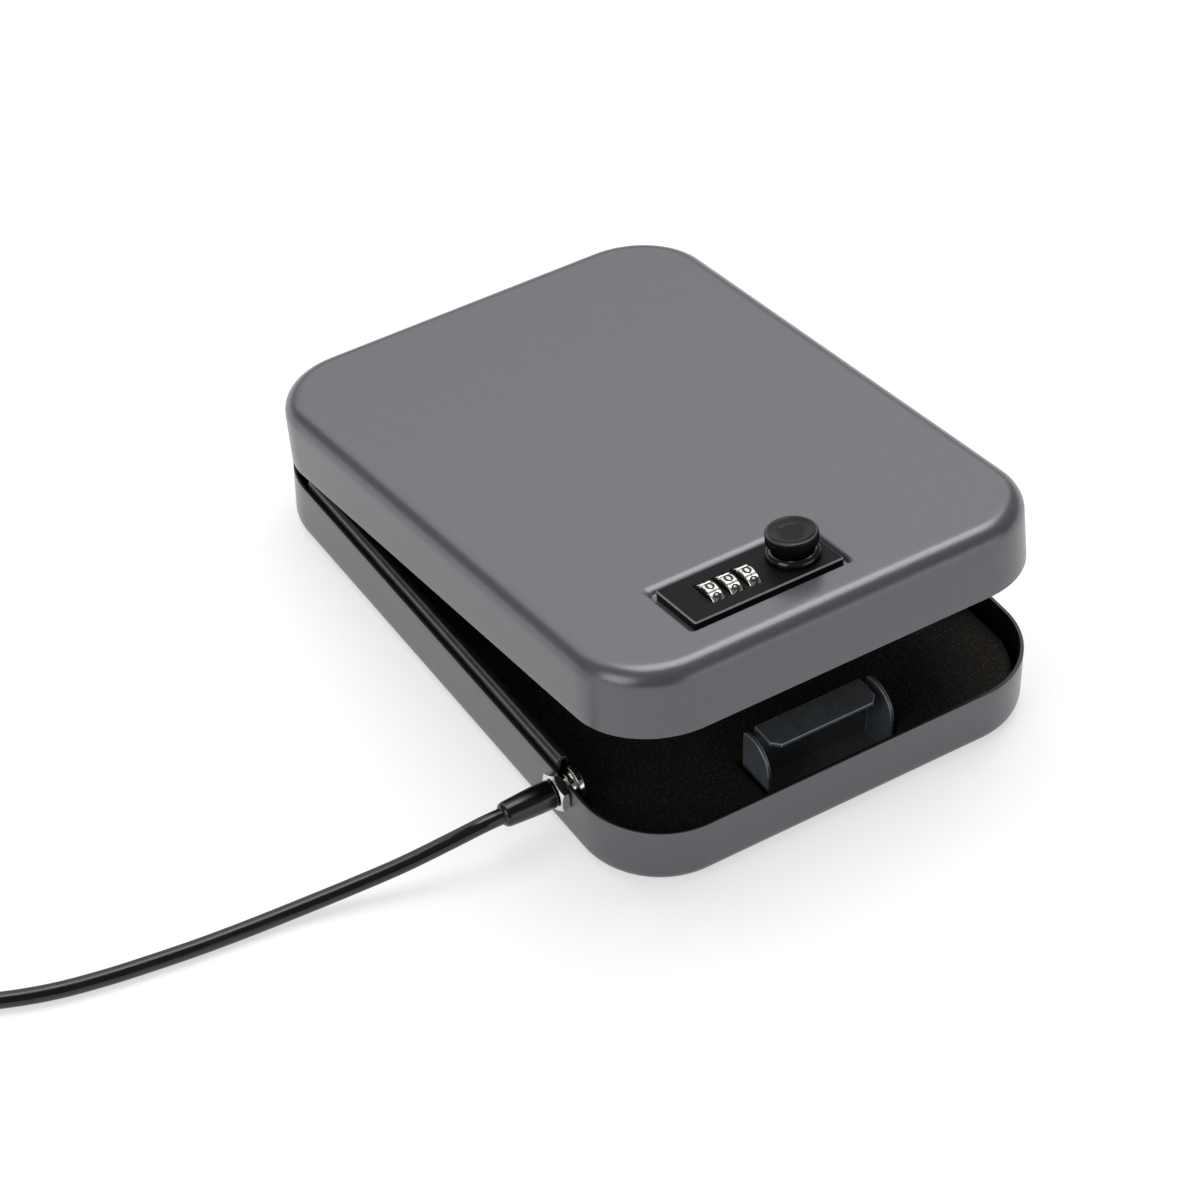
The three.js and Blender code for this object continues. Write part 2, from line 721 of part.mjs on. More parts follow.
// Lock housing: faceplate and body in one casting, with windows, wheel pocket and crank pocket.
function lockHousing() {
  const full = roundedLoop(plate_length, plate_depth, plate_corner, plate_x, plate_y);
  const eased = roundedLoop(
    plate_length - 2 * plate_chamfer,
    plate_depth - 2 * plate_chamfer,
    plate_corner - plate_chamfer,
    plate_x,
    plate_y,
  );
  const plate = loft([
    [full, plate_bottom],
    [full, plate_top - plate_chamfer],
    [eased, plate_top],
  ]);
  const body = slab(
    roundedLoop(body_length, body_depth, body_corner, plate_x, plate_y),
    body_bottom,
    plate_top - plate_chamfer,
  );
  const pocket = block(
    [pocket_left, plate_y - dial_pocket_depth / 2, body_bottom - overrun],
    [pocket_right, plate_y + dial_pocket_depth / 2, plate_bottom],
  );
  const relief = rod(sleeve_relief, pocket_left, pocket_right, plate_y, wheel_z);
  const half_window = wheel_width / 2 + window_side_gap;
  const windows = wheel_places.flatMap((x) => [
    block(
      [x - half_window, plate_y - window_length / 2, plate_bottom - overrun],
      [x + half_window, plate_y + window_length / 2, plate_top + overrun],
    ),
    rod(
      wheel_radius + window_side_gap,
      x - half_window,
      x + half_window,
      plate_y,
      wheel_z,
      round_steps,
    ),
  ]);
  const shaft_bore = rod(
    shaft_radius + fit,
    shaft_left - overrun,
    shaft_right + fit,
    plate_y,
    wheel_z,
  );
  const crank_pocket = drum(
    crank_disc_radius + crank_pocket_gap,
    body_bottom - overrun,
    crank_pocket_top,
    knob_x,
    plate_y,
  );
  const spindle_bore = drum(
    spindle_radius + fit,
    crank_pocket_top - overrun,
    plate_top + overrun,
    knob_x,
    plate_y,
  );
  const screw_bores = screwPlaces().map(([x, y]) =>
    drum(screw_radius + fit, body_bottom - overrun, screw_tip + fit, x, y, small_round_steps),
  );
  return cut(
    join(plate, body),
    pocket,
    relief,
    ...windows,
    shaft_bore,
    crank_pocket,
    spindle_bore,
    ...screw_bores,
  );
}

// The four cover screws stand in two rows at the ends of the wheel pocket.
function screwPlaces() {
  const offset = body_depth / 2 - screw_inset_y;
  return [screw_left, screw_right].flatMap((x) => [
    [x, plate_y - offset],
    [x, plate_y + offset],
  ]);
}

// Number wheel: ten faces with a groove between neighbours, bored for its sleeve.
function numberWheel(x) {
  const step = (2 * Math.PI) / digits;
  const outline = Array.from({ length: digits }, (_, digit) => {
    const middle = digit * step;
    const half = (step * digit_face_share) / 2;
    const face = [-half, 0, half].map((turn) => [wheel_radius, middle + turn]);
    return [...face, [wheel_radius - digit_groove, middle + step / 2]];
  }).flat();
  const points = outline.map(
    ([radius, angle]) => new THREE.Vector2(radius * Math.cos(angle), radius * Math.sin(angle)),
  );
  const wheel = slab(points, -wheel_width / 2, wheel_width / 2);
  wheel.rotateY(Math.PI / 2).translate(x, plate_y, wheel_z);
  const bore = rod(wheel_bore, x - wheel_width, x + wheel_width, plate_y, wheel_z);
  return cut(wheel, bore);
}

// Clutch sleeve: a tube inside the wheel and a gated flange beside it.
function clutchSleeve(x, gate_digit) {
  const left = x - wheel_width / 2 - window_side_gap - sleeve_flange_thickness;
  const flange = rod(
    sleeve_flange_radius,
    left,
    left + sleeve_flange_thickness,
    plate_y,
    wheel_z,
    round_steps,
  );
  const tube = rod(sleeve_radius, left, x + wheel_width / 2, plate_y, wheel_z);
  const bore = rod(shaft_radius + fit, left - overrun, x + wheel_width, plate_y, wheel_z);
  const angle = (gate_digit / digits) * 2 * Math.PI;
  const gate = block(
    [left - overrun, -gate_width / 2, sleeve_flange_radius - gate_depth],
    [left + sleeve_flange_thickness, gate_width / 2, sleeve_flange_radius + overrun],
  );
  gate.rotateX(angle).translate(0, plate_y, wheel_z);
  const gated = cut(flange, gate);
  return cut(join(gated, tube), bore);
}

// Fence bar under the wheels: one tooth below each sleeve's flange.
function fenceBar() {
  const bar = block(
    [pocket_left + bar_end_gap, plate_y - bar_width / 2, bar_bottom],
    [pocket_right - bar_end_gap, plate_y + bar_width / 2, bar_bottom + bar_thickness],
  );
  const tooth_top = wheel_z - sleeve_flange_radius - fit;
  const teeth = wheel_places.map((x) => {
    const right = x - wheel_width / 2 - window_side_gap;
    return block(
      [right - sleeve_flange_thickness, plate_y - fence_width / 2, bar_bottom],
      [right, plate_y + fence_width / 2, tooth_top],
    );
  });
  return join(bar, ...teeth);
}

// Comb spring: a strip with one finger behind each wheel, its nose in line with the axis.
function combSpring() {
  const back = plate_y + dial_pocket_depth / 2 - fit;
  const face = back - comb_thickness;
  const base = block(
    [pocket_left + comb_end_gap, face, comb_bottom],
    [pocket_right - comb_end_gap, back, comb_bottom + comb_base_height],
  );
  const nose_y = plate_y + wheel_radius + fit;
  const fingers = wheel_places.flatMap((x) => {
    const left = x - comb_finger_width / 2;
    const right = x + comb_finger_width / 2;
    return [
      block([left, face, comb_bottom], [right, back, wheel_z + comb_finger_rise]),
      rod((back - nose_y) / 2, left, right, (back + nose_y) / 2, wheel_z, small_round_steps),
    ];
  });
  return join(base, ...fingers);
}

piece("lock_housing", lockHousing(), black_casting, lid);
wheel_places.forEach((x, i) => {
  piece("number_wheel_" + (i + 1), numberWheel(x), nickel, lid);
  piece("clutch_sleeve_" + (i + 1), clutchSleeve(x, gate_digits[i]), brass, lid);
});
const wheel_shaft = rod(shaft_radius, shaft_left, shaft_right, plate_y, wheel_z);
piece("wheel_shaft", wheel_shaft, plain_steel, lid);
piece("fence_bar", fenceBar(), plain_steel, lid);
piece("comb_spring", combSpring(), plain_steel, lid);

// Knob: knurled cap with a dished top on a plain neck, bored for its spindle.
function knob() {
  const cap_bottom = knob_top - knob_cap_height;
  const knurled = (inset) =>
    Array.from({ length: 2 * knurl_count }, (_, i) => {
      const radius = knob_radius - inset - (i % 2) * knurl_depth;
      const angle = (i / knurl_count) * Math.PI;
      return new THREE.Vector2(radius * Math.cos(angle), radius * Math.sin(angle));
    });
  const cap = loft([
    [knurled(knob_chamfer), cap_bottom],
    [knurled(0), cap_bottom + knob_chamfer],
    [knurled(0), knob_top - knob_chamfer],
    [knurled(knob_chamfer), knob_top],
  ]);
  const neck = drum(neck_radius, plate_top + fit, cap_bottom + knob_chamfer);
  const bore = drum(spindle_radius + fit, plate_top - overrun, spindle_top + fit);
  const dished = turned([
    [0, knob_top - knob_dish_depth],
    [knob_dish_floor_radius, knob_top - knob_dish_depth],
    [knob_dish_radius, knob_top],
    [knob_dish_radius, knob_top + overrun],
    [0, knob_top + overrun],
  ]);
  return cut(join(cap, neck), bore, dished).translate(knob_x, plate_y, 0);
}

// Fixed bezel round the knob's neck.
function knobBezel() {
  const bottom = plate_top + fit;
  const top = bottom + bezel_height;
  const ring = turned([
    [0, bottom],
    [bezel_radius, bottom],
    [bezel_radius, top - bezel_round],
    [bezel_radius - bezel_round * (1 - Math.SQRT1_2), top - bezel_round * (1 - Math.SQRT1_2)],
    [bezel_radius - bezel_round, top],
    [0, top],
  ]);
  const bore = drum(neck_radius + fit, bottom - overrun, top + overrun);
  return cut(ring, bore).translate(knob_x, plate_y, 0);
}

// Crank: disc and hub pinned to the spindle, with the eccentric pin that draws the latch.
function crank() {
  const disc = drum(crank_disc_radius, crank_bottom, crank_bottom + crank_disc_thickness);
  const hub = drum(crank_hub_radius, crank_bottom, crank_top, 0, 0, small_round_steps);
  const pin_x = crank_radius * Math.cos(crank_half_swing);
  const pin_y = -crank_radius * Math.sin(crank_half_swing);
  const pin_end = latch_bottom + fit;
  const disc_top = crank_bottom + crank_disc_thickness;
  const pin = drum(crank_pin_radius, pin_end, disc_top, pin_x, pin_y, small_round_steps);
  const socket = drum(spindle_radius + fit, crank_socket, crank_top + overrun, 0, 0, small_round_steps);
  const cross = rod(roll_pin_radius + fit, -crank_disc_radius, crank_disc_radius, 0, roll_pin_z);
  return cut(join(disc, hub, pin), socket, cross).translate(knob_x, plate_y, 0);
}

// Spindle from the knob down to the crank, cross-drilled for the roll pin.
function spindle() {
  const bar = drum(spindle_radius, crank_socket + fit, spindle_top, 0, 0, small_round_steps);
  const cross = rod(roll_pin_radius + fit, -crank_disc_radius, crank_disc_radius, 0, roll_pin_z);
  return cut(bar, cross).translate(knob_x, plate_y, 0);
}

piece("knob_bezel", knobBezel(), black_casting, lid);
piece("knob", knob(), black_casting, lid);
piece("knob_spindle", spindle(), plain_steel, lid);
piece("latch_crank", crank(), plain_steel, lid);
const roll_pin = rod(
  roll_pin_radius,
  knob_x - roll_pin_half_length,
  knob_x + roll_pin_half_length,
  plate_y,
  roll_pin_z,
);
piece("crank_roll_pin", roll_pin, plain_steel, lid);

// Latch: slide plate slotted for the crank's pin, bent down in front into a hook.
function latch() {
  const left = knob_x - latch_half_width;
  const right = knob_x + latch_half_width;
  const blade_back = latch_front + latch_thickness;
  const slide = block([left, latch_front, latch_bottom], [right, latch_rear, latch_top]);
  const neck = block([left, latch_front, hook_bottom], [right, blade_back, latch_top]);
  const blade = block(
    [-hook_half_width, latch_front, hook_bottom],
    [hook_half_width, blade_back, hook_shoulder],
  );
  const tongue = slab(
    [
      new THREE.Vector2(-hook_half_width, latch_front),
      new THREE.Vector2(hook_half_width, latch_front),
      new THREE.Vector2(hook_half_width, tongue_tip - tongue_chamfer),
      new THREE.Vector2(hook_half_width - tongue_chamfer, tongue_tip),
      new THREE.Vector2(-hook_half_width + tongue_chamfer, tongue_tip),
      new THREE.Vector2(-hook_half_width, tongue_tip - tongue_chamfer),
    ],
    hook_bottom,
    hook_bottom + latch_thickness,
  );
  const near_x = knob_x + crank_radius * Math.cos(crank_half_swing);
  const far_x = knob_x + crank_radius;
  const slot_y = plate_y - crank_radius * Math.sin(crank_half_swing);
  const reach = crank_pin_radius + fit;
  const slot = block(
    [near_x - reach, slot_y - reach, latch_bottom - overrun],
    [far_x + reach, slot_y + reach, latch_top + overrun],
  );
  return cut(join(slide, neck, blade, tongue), slot);
}

// Rear cover: moulded box over the lock's body, open towards the lid.
function lockCover() {
  const outer_length = body_length + 2 * (cover_gap + cover_wall);
  const outer_depth = body_depth + 2 * (cover_gap + cover_wall);
  const top = recess_floor - wall - fit;
  const outside = roundedLoop(outer_length, outer_depth, cover_corner, plate_x, plate_y);
  const inside = roundedLoop(
    outer_length - 2 * cover_wall,
    outer_depth - 2 * cover_wall,
    cover_corner - cover_wall,
    plate_x,
    plate_y,
  );
  const half_slot = latch_half_width + latch_slot_gap;
  const latch_slot = block(
    [knob_x - half_slot, plate_y - outer_depth, cover_floor],
    [knob_x + half_slot, plate_y, latch_top + latch_slot_gap],
  );
  const lever_end = lever_nub_left + lever_nub_length + lever_travel;
  const half_lever_slot = lever_nub_width / 2 + lever_slot_gap;
  const lever_slot = block(
    [lever_nub_left - lever_slot_gap, plate_y - half_lever_slot, cover_bottom - overrun],
    [lever_end + lever_slot_gap, plate_y + half_lever_slot, cover_floor + overrun],
  );
  const screw_holes = screwPlaces().map(([x, y]) =>
    drum(screw_radius + fit, cover_bottom - overrun, cover_floor + overrun, x, y, small_round_steps),
  );
  const cavity = slab(inside, cover_floor, top + overrun);
  return cut(slab(outside, cover_bottom, top), cavity, latch_slot, lever_slot, ...screw_holes);
}

// Cover screw: pan head below the cover, slotted for a driver.
function coverScrew(x, y) {
  const head_top = cover_bottom - fit;
  const head_bottom = head_top - screw_head_height;
  const head = drum(screw_head_radius, head_bottom, head_top, 0, 0, small_round_steps);
  const shank = drum(screw_radius, head_bottom, screw_tip, 0, 0, small_round_steps);
  const slot = block(
    [-screw_head_radius, -screw_slot_width / 2, head_bottom - overrun],
    [screw_head_radius, screw_slot_width / 2, head_bottom + screw_slot_depth],
  );
  return cut(join(head, shank), slot).translate(x, y, 0);
}

// Code-change lever: a slider inside the cover with a finger nub through its slot.
function codeLever() {
  const slider = block(
    [lever_left, plate_y - lever_width / 2, lever_bottom],
    [lever_left + lever_length, plate_y + lever_width / 2, lever_bottom + lever_thickness],
  );
  const lever_top = lever_bottom + lever_thickness;
  const nub = block(
    [lever_nub_left, plate_y - lever_nub_width / 2, lever_nub_bottom],
    [lever_nub_left + lever_nub_length, plate_y + lever_nub_width / 2, lever_top],
  );
  return join(slider, nub);
}

piece("latch_hook", latch(), plain_steel, lid);
piece("lock_rear_cover", lockCover(), black_plastic, lid);
screwPlaces().forEach(([x, y], i) => {
  piece("cover_screw_" + (i + 1), coverScrew(x, y), plain_steel, lid);
});
piece("code_change_lever", codeLever(), plain_steel, lid);

// Turned pieces of the stud lie along -X: height 0 is on the wall's outer face.
function alongLeft(geometry, x) {
  return geometry.rotateY(-Math.PI / 2).translate(x, stud_y, stud_z);
}

// Stud: round-edged button clear of the rail, a collar against the wall and a plain neck
// through the notch and the nut into the boot.
function cableStud() {
  const collar_face = -inner_x + fit;
  const button_back = -stud_collar_thickness;
  const button_front = button_back - button_thickness;
  const neck_end = collar_face - boot_start + fit;
  const flank = button_round * (1 - Math.SQRT1_2);
  const button = turned([
    [0, button_front],
    [button_radius - button_round, button_front],
    [button_radius - flank, button_front + flank],
    [button_radius, button_front + button_round],
    [button_radius, button_back],
    [stud_collar_radius, button_back],
    [stud_collar_radius, 0],
    [stud_neck_radius, 0],
    [stud_neck_radius, neck_end],
    [0, neck_end],
  ]);
  return alongLeft(button, collar_face);
}

// Hexagon nut with its outer corners turned off.
function cableNut() {
  const nut_radius = nut_across_flats / 2 / Math.cos(Math.PI / hexagon);
  const prism = drum(nut_radius, 0, nut_thickness, 0, 0, hexagon);
  const turned_off = turned([
    [0, 0],
    [nut_radius, 0],
    [nut_radius, nut_thickness - nut_chamfer],
    [nut_across_flats / 2 - nut_chamfer, nut_thickness],
    [0, nut_thickness],
  ]);
  const bore = drum(stud_neck_radius + fit, -overrun, nut_thickness + overrun);
  return alongLeft(cut(overlap(prism, turned_off), bore), -case_width / 2 - fit);
}

// Boot: tapered moulding over the crimp where the cable meets the stud.
function cableBoot() {
  const sleeve = turned([
    [0, 0],
    [boot_radius, 0],
    [boot_radius, boot_length / 3],
    [boot_nose_radius, boot_length - boot_round],
    [boot_nose_radius - boot_round, boot_length],
    [0, boot_length],
  ]);
  const bore = drum(stud_neck_radius + fit, -overrun, fit + fit);
  return alongLeft(cut(sleeve, bore), boot_start);
}

// Round tube along a curve, its section a regular polygon.
function tube(curve, radius, sides, steps) {
  const section = Array.from({ length: sides }, (_, i) => {
    const angle = (i / sides) * 2 * Math.PI;
    return new THREE.Vector2(radius * Math.cos(angle), radius * Math.sin(angle));
  });
  const options = { steps, extrudePath: curve, bevelEnabled: false };
  return geometryOf(solid(new THREE.ExtrudeGeometry(new THREE.Shape(section), options)));
}

// The coil's centreline: a straight start, a spiral inwards on the floor, a half turn that
// climbs one layer while the spiral reverses, a spiral outwards on top and a straight end.
class CoilPath extends THREE.Curve {
  constructor() {
    super();
    this.turns = 2 * coil_side_turns + coil_climb_turns;
    this.loops = this.turns * 2 * Math.PI * this.radiusAt(0);
  }

  radiusAt(turn) {
    const climbed = turn - coil_side_turns;
    if (climbed < 0) return coil_inner_radius - climbed * coil_turn_pitch;
    if (climbed > coil_climb_turns)
      return coil_inner_radius + (climbed - coil_climb_turns) * coil_turn_pitch;
    return coil_inner_radius - climbed * (1 - climbed / coil_climb_turns) * coil_turn_pitch;
  }

  heightAt(turn) {
    const way = THREE.MathUtils.clamp((turn - coil_side_turns) / coil_climb_turns, 0, 1);
    return cable_radius + rest_gap + coil_layer_pitch * (3 - 2 * way) * way ** 2;
  }

  at(turn) {
    const angle = coil_start_angle - turn * 2 * Math.PI;
    const radius = this.radiusAt(turn);
    return new THREE.Vector3(
      coil_middle[0] + radius * Math.cos(angle),
      coil_middle[1] + radius * Math.sin(angle),
      this.heightAt(turn),
    );
  }

  heading(turn) {
    const angle = coil_start_angle - turn * 2 * Math.PI;
    return new THREE.Vector3(Math.sin(angle), -Math.cos(angle), 0);
  }

  getPoint(t, target = new THREE.Vector3()) {
    const along = t * (this.loops + 2 * cable_diameter) - cable_diameter;
    const turn = (along / this.loops) * this.turns;
    if (along < 0) return target.copy(this.at(0)).addScaledVector(this.heading(0), along);
    const past = along - this.loops;
    if (past > 0)
      return target.copy(this.at(this.turns)).addScaledVector(this.heading(this.turns), past);
    return target.copy(this.at(turn));
  }
}

// Least clear gap of a tube to itself, measured on points of its centreline.
function leastGap(curve, diameter) {
  const points = curve.getSpacedPoints(gap_samples);
  const spacing = curve.getLength() / gap_samples;
  const skip = Math.ceil((gap_skip_share * diameter) / spacing);
  let least = Infinity;
  for (let i = 0; i < points.length; i++)
    for (let j = i + skip; j < points.length; j++)
      least = Math.min(least, points[i].distanceTo(points[j]));
  return least - diameter;
}

const coil_path = new CoilPath();
const coil_gap = leastGap(coil_path, cable_diameter).toFixed(2);
console.log("cable coil, least gap to itself: " + coil_gap + " mm");

const coil_entry = coil_path.getPoint(0);
const coil_exit = coil_path.getPoint(1);
const entry_heading = coil_path.heading(0);
const exit_heading = coil_path.heading(coil_path.turns);

// Seen stretch of the cable, from the boot to the coil, straight at both ends.
function cableLead() {
  const start = new THREE.Vector3(boot_start - boot_length - fit, stud_y, stud_z);
  const straight_start = start.clone().add(new THREE.Vector3(-cable_diameter, 0, 0));
  const route = cable_route.map((place) => new THREE.Vector3(...place));
  const end = coil_entry.clone().addScaledVector(entry_heading, -fit);
  const straight_end = end.clone().addScaledVector(entry_heading, -cable_diameter);
  const points = [start, straight_start, ...route, straight_end, end];
  const path = new THREE.CatmullRomCurve3(points, false, "centripetal");
  return tube(path, cable_radius, lead_sides, lead_steps);
}

const ferrule_z = ferrule_height / 2 + rest_gap;
const tail_start = coil_exit.clone().addScaledVector(exit_heading, fit);
const tail_end = tail_start.clone().addScaledVector(exit_heading, tail_length).setZ(ferrule_z);
// The tail goes into one lobe of the oval ferrule, and the eye's end comes back into the other.
const lobe_side = new THREE.Vector3(exit_heading.y, -exit_heading.x, 0);
const ferrule_start = tail_end
  .clone()
  .addScaledVector(exit_heading, fit)
  .addScaledVector(lobe_side, eye_leg_offset);
const eye_start = ferrule_start.clone().addScaledVector(exit_heading, ferrule_length + fit);

// Tail: from the coil's top layer down to the ferrule on the floor.
function cableTail() {
  const lower = exit_heading.clone().multiplyScalar(cable_diameter);
  const points = [
    tail_start,
    tail_start.clone().add(lower),
    tail_end.clone().sub(lower),
    tail_end,
  ];
  const path = new THREE.CatmullRomCurve3(points, false, "centripetal");
  return tube(path, cable_radius, lead_sides, tail_steps);
}

// Places a shape drawn along +X from the origin on the tail's line.
function onTail(geometry, place) {
  const angle = Math.atan2(exit_heading.y, exit_heading.x);
  return geometry.rotateZ(angle).translate(place.x, place.y, place.z);
}

// Ferrule: oval swaged sleeve, its ends eased, that closes the cable's end into the eye.
function cableFerrule() {
  const section = (inset) =>
    roundedLoop(ferrule_width - 2 * inset, ferrule_height - 2 * inset, ferrule_height / 2 - inset);
  const sleeve = loft([
    [section(ferrule_chamfer), 0],
    [section(0), ferrule_chamfer],
    [section(0), ferrule_length - ferrule_chamfer],
    [section(ferrule_chamfer), ferrule_length],
  ]);
  sleeve.rotateZ(Math.PI / 2).rotateY(Math.PI / 2);
  return onTail(geometryOf(solid(sleeve)), ferrule_start);
}

// Eye: the cable's end bent back into the ferrule, one unbroken loop. From its lobe it swells
// out on the throat's arc, and from there the tip's arc carries it round.
function cableEye() {
  const sink = ferrule_z - cable_radius - rest_gap;
  const both_radii = eye_throat_radius + eye_tip_radius;
  const swell = Math.acos((eye_leg_offset + eye_throat_radius) / both_radii);
  const tip_x = cable_diameter + both_radii * Math.sin(swell);
  const throat = Array.from({ length: eye_throat_points }, (_, i) => {
    const way = (i + 1) / eye_throat_points;
    return [
      cable_diameter + eye_throat_radius * Math.sin(way * swell),
      eye_leg_offset + eye_throat_radius * (1 - Math.cos(way * swell)),
      -sink * way,
    ];
  });
  const round = Array.from({ length: eye_tip_points }, (_, i) => {
    const heading = swell - ((i + 1) / (eye_tip_points + 1)) * (swell + Math.PI / 2);
    return [
      tip_x - eye_tip_radius * Math.sin(heading),
      eye_tip_radius * Math.cos(heading),
      -sink,
    ];
  });
  const leg = [
    [0, eye_leg_offset, 0],
    [cable_diameter, eye_leg_offset, 0],
  ];
  const half = [...leg, ...throat, ...round];
  const mirrored = half.map(([x, y, z]) => [x, -y, z]).reverse();
  const tip = [tip_x + eye_tip_radius, 0, -sink];
  const points = [...half, tip, ...mirrored].map((place) => new THREE.Vector3(...place));
  const path = new THREE.CatmullRomCurve3(points, false, "centripetal");
  return onTail(tube(path, cable_radius, lead_sides, eye_steps), eye_start);
}

piece("cable_stud", cableStud(), nickel, safe);
piece("cable_nut", cableNut(), nickel, safe);
piece("cable_boot", cableBoot(), cable_vinyl, safe);
piece("cable_lead", cableLead(), cable_vinyl, safe);
const coil_steps = Math.round(coil_path.turns * coil_loop_steps);
piece("cable_coil", tube(coil_path, cable_radius, coil_sides, coil_steps), cable_vinyl, safe);
piece("cable_tail", cableTail(), cable_vinyl, safe);
piece("cable_ferrule", cableFerrule(), plain_steel, safe);
piece("cable_eye", cableEye(), cable_vinyl, safe);

export default safe;
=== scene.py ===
import math

import bmesh
import bpy
import numpy as np
from mathutils import Matrix, Vector


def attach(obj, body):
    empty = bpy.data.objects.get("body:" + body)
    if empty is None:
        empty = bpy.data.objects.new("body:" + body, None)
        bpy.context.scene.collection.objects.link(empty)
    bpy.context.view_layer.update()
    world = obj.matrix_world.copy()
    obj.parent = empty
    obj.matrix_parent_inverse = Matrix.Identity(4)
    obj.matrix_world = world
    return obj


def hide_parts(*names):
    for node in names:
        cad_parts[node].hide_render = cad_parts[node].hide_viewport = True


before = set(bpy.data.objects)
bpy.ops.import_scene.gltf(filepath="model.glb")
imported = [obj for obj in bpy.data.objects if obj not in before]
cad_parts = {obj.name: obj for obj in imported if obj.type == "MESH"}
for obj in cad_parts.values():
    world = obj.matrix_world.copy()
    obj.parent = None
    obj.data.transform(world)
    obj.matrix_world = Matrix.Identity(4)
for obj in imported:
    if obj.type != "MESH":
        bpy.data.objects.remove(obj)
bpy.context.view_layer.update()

# Camera: a long lens in front of the safe, to its left and well above it. Its place is in metres,
# its angles are in degrees, and every size of the safe below is in millimetres.
CAMERA_PLACE = (-0.57679, -0.88095, 0.97070)
CAMERA_AZIMUTH, CAMERA_ELEVATION, CAMERA_LEAN = -32.243, 42.709, -0.318
SENSOR_WIDTH, FOCAL_LENGTH = 36, 117.477
camera = bpy.data.objects.new("camera", bpy.data.cameras.new("camera"))
camera.data.sensor_width = SENSOR_WIDTH
camera.data.lens = FOCAL_LENGTH
camera.data.clip_end = 20
camera.matrix_world = (
    Matrix.Translation(CAMERA_PLACE)
    @ Matrix.Rotation(math.radians(CAMERA_AZIMUTH), 4, "Z")
    @ Matrix.Rotation(math.radians(90 - CAMERA_ELEVATION), 4, "X")
    @ Matrix.Rotation(math.radians(CAMERA_LEAN), 4, "Z")
)
bpy.context.scene.collection.objects.link(camera)
bpy.context.scene.camera = camera

# Security cable: steel strands in a smooth black vinyl jacket, 4 ft long. It leaves the boot on
# the tray's left wall, sags to the ground, lies in one round coil of two layers and ends in an
# eye, its end swaged back into the ferrule.
CABLE_RADIUS, GROUND_GAP = 2.9, 0.2
CABLE_WIDTH = 2 * CABLE_RADIUS
STUD_Y, STUD_Z = -82.2, 19.4
cable_route = np.array([
    (-103.0, -82.2, 19.4), (-113.3, -82.2, 19.4), (-119.1, -82.2, 19.4), (-130.8, -79.7, 15.6),
    (-148.6, -76.3, 10.7), (-166.1, -72.6, 6.9), (-183.9, -69.6, 4.4), (-201.9, -67.6, 3.3),
    (-219.9, -65.9, 3.1), (-237.5, -63.7, 3.1), (-254.7, -61.0, 3.1), (-271.2, -57.2, 3.1),
    (-286.7, -51.6, 3.1), (-306.5, -42.0, 3.1), (-325.0, -30.6, 3.1),
])


def coil_centreline(
    middle, start, inner, turn_pitch, layer_pitch, side_turns, climb_turns, turn_steps=40
):
    """Clockwise spiral in towards inner on the ground, part of a turn that climbs one layer in
    an S while it dips inwards by a parabola, and the same spiral out again on top. Gives its
    points, and the angle of the last."""
    turns = 2 * side_turns + climb_turns
    turn = np.linspace(0, turns, round(turns * turn_steps) + 1)
    climbed = np.clip((turn - side_turns) / climb_turns, 0, 1)
    past = np.maximum(side_turns - turn, turn - side_turns - climb_turns)
    dip = climbed * (1 - climbed) * climb_turns
    radius = inner + turn_pitch * (np.maximum(past, 0) - dip)
    angle = math.radians(start) - 2 * math.pi * turn
    height = CABLE_RADIUS + GROUND_GAP + layer_pitch * (3 - 2 * climbed) * climbed**2
    x = middle[0] + radius * np.cos(angle)
    y = middle[1] + radius * np.sin(angle)
    return np.stack([x, y, height], axis=-1), angle[-1]


coil, last_angle = coil_centreline(
    middle=(-317.6, 12.3),
    start=230,
    inner=26.5,
    turn_pitch=6.5,
    layer_pitch=6.4,
    side_turns=1.855,
    climb_turns=0.5,
)
heading = np.array([math.sin(last_angle), -math.cos(last_angle), 0])
left_of_heading = np.array([-heading[1], heading[0], 0])
FERRULE_LENGTH, FERRULE_Z, FERRULE_GAP, EYE_LEG = 18.0, 4.0, 0.3, 3.4
TAIL_STRAIGHT, THROAT_RADIUS, TIP_RADIUS, TIP_DROP = 32, 15.0, 12.5, 0.9
tail_length = CABLE_WIDTH + TAIL_STRAIGHT + 2 * FERRULE_GAP
tail = coil[-1] + np.outer([CABLE_WIDTH, tail_length - CABLE_WIDTH, tail_length], heading)
tail[1:, 2] = FERRULE_Z
ferrule_start = tail[-1] - EYE_LEG * left_of_heading
# One arc swells each leg out to the angle whose cosine is (leg + throat) / (throat + tip), and
# from there the tip's arc goes round. The second half of the eye is the first one's mirror image.
swell = math.acos((EYE_LEG + THROAT_RADIUS) / (THROAT_RADIUS + TIP_RADIUS))
leg_end = FERRULE_LENGTH + FERRULE_GAP + CABLE_WIDTH
tip_middle = leg_end + (THROAT_RADIUS + TIP_RADIUS) * math.sin(swell)
throat = np.linspace(0, swell, 5)
round_tip = np.linspace(swell, -math.pi / 2, 9)[1:]
half_forward = np.concatenate([
    [FERRULE_LENGTH / 2, FERRULE_LENGTH + FERRULE_GAP],
    leg_end + THROAT_RADIUS * np.sin(throat),
    tip_middle - TIP_RADIUS * np.sin(round_tip),
])
half_aside = np.concatenate([
    [EYE_LEG, EYE_LEG],
    EYE_LEG + THROAT_RADIUS * (1 - np.cos(throat)),
    TIP_RADIUS * np.cos(round_tip),
])
half_drop = TIP_DROP * np.clip((half_forward - leg_end) / (tip_middle - leg_end), 0, 1)
eye_forward = np.concatenate([half_forward, half_forward[-2::-1]])
eye_aside = np.concatenate([half_aside, -half_aside[-2::-1]])
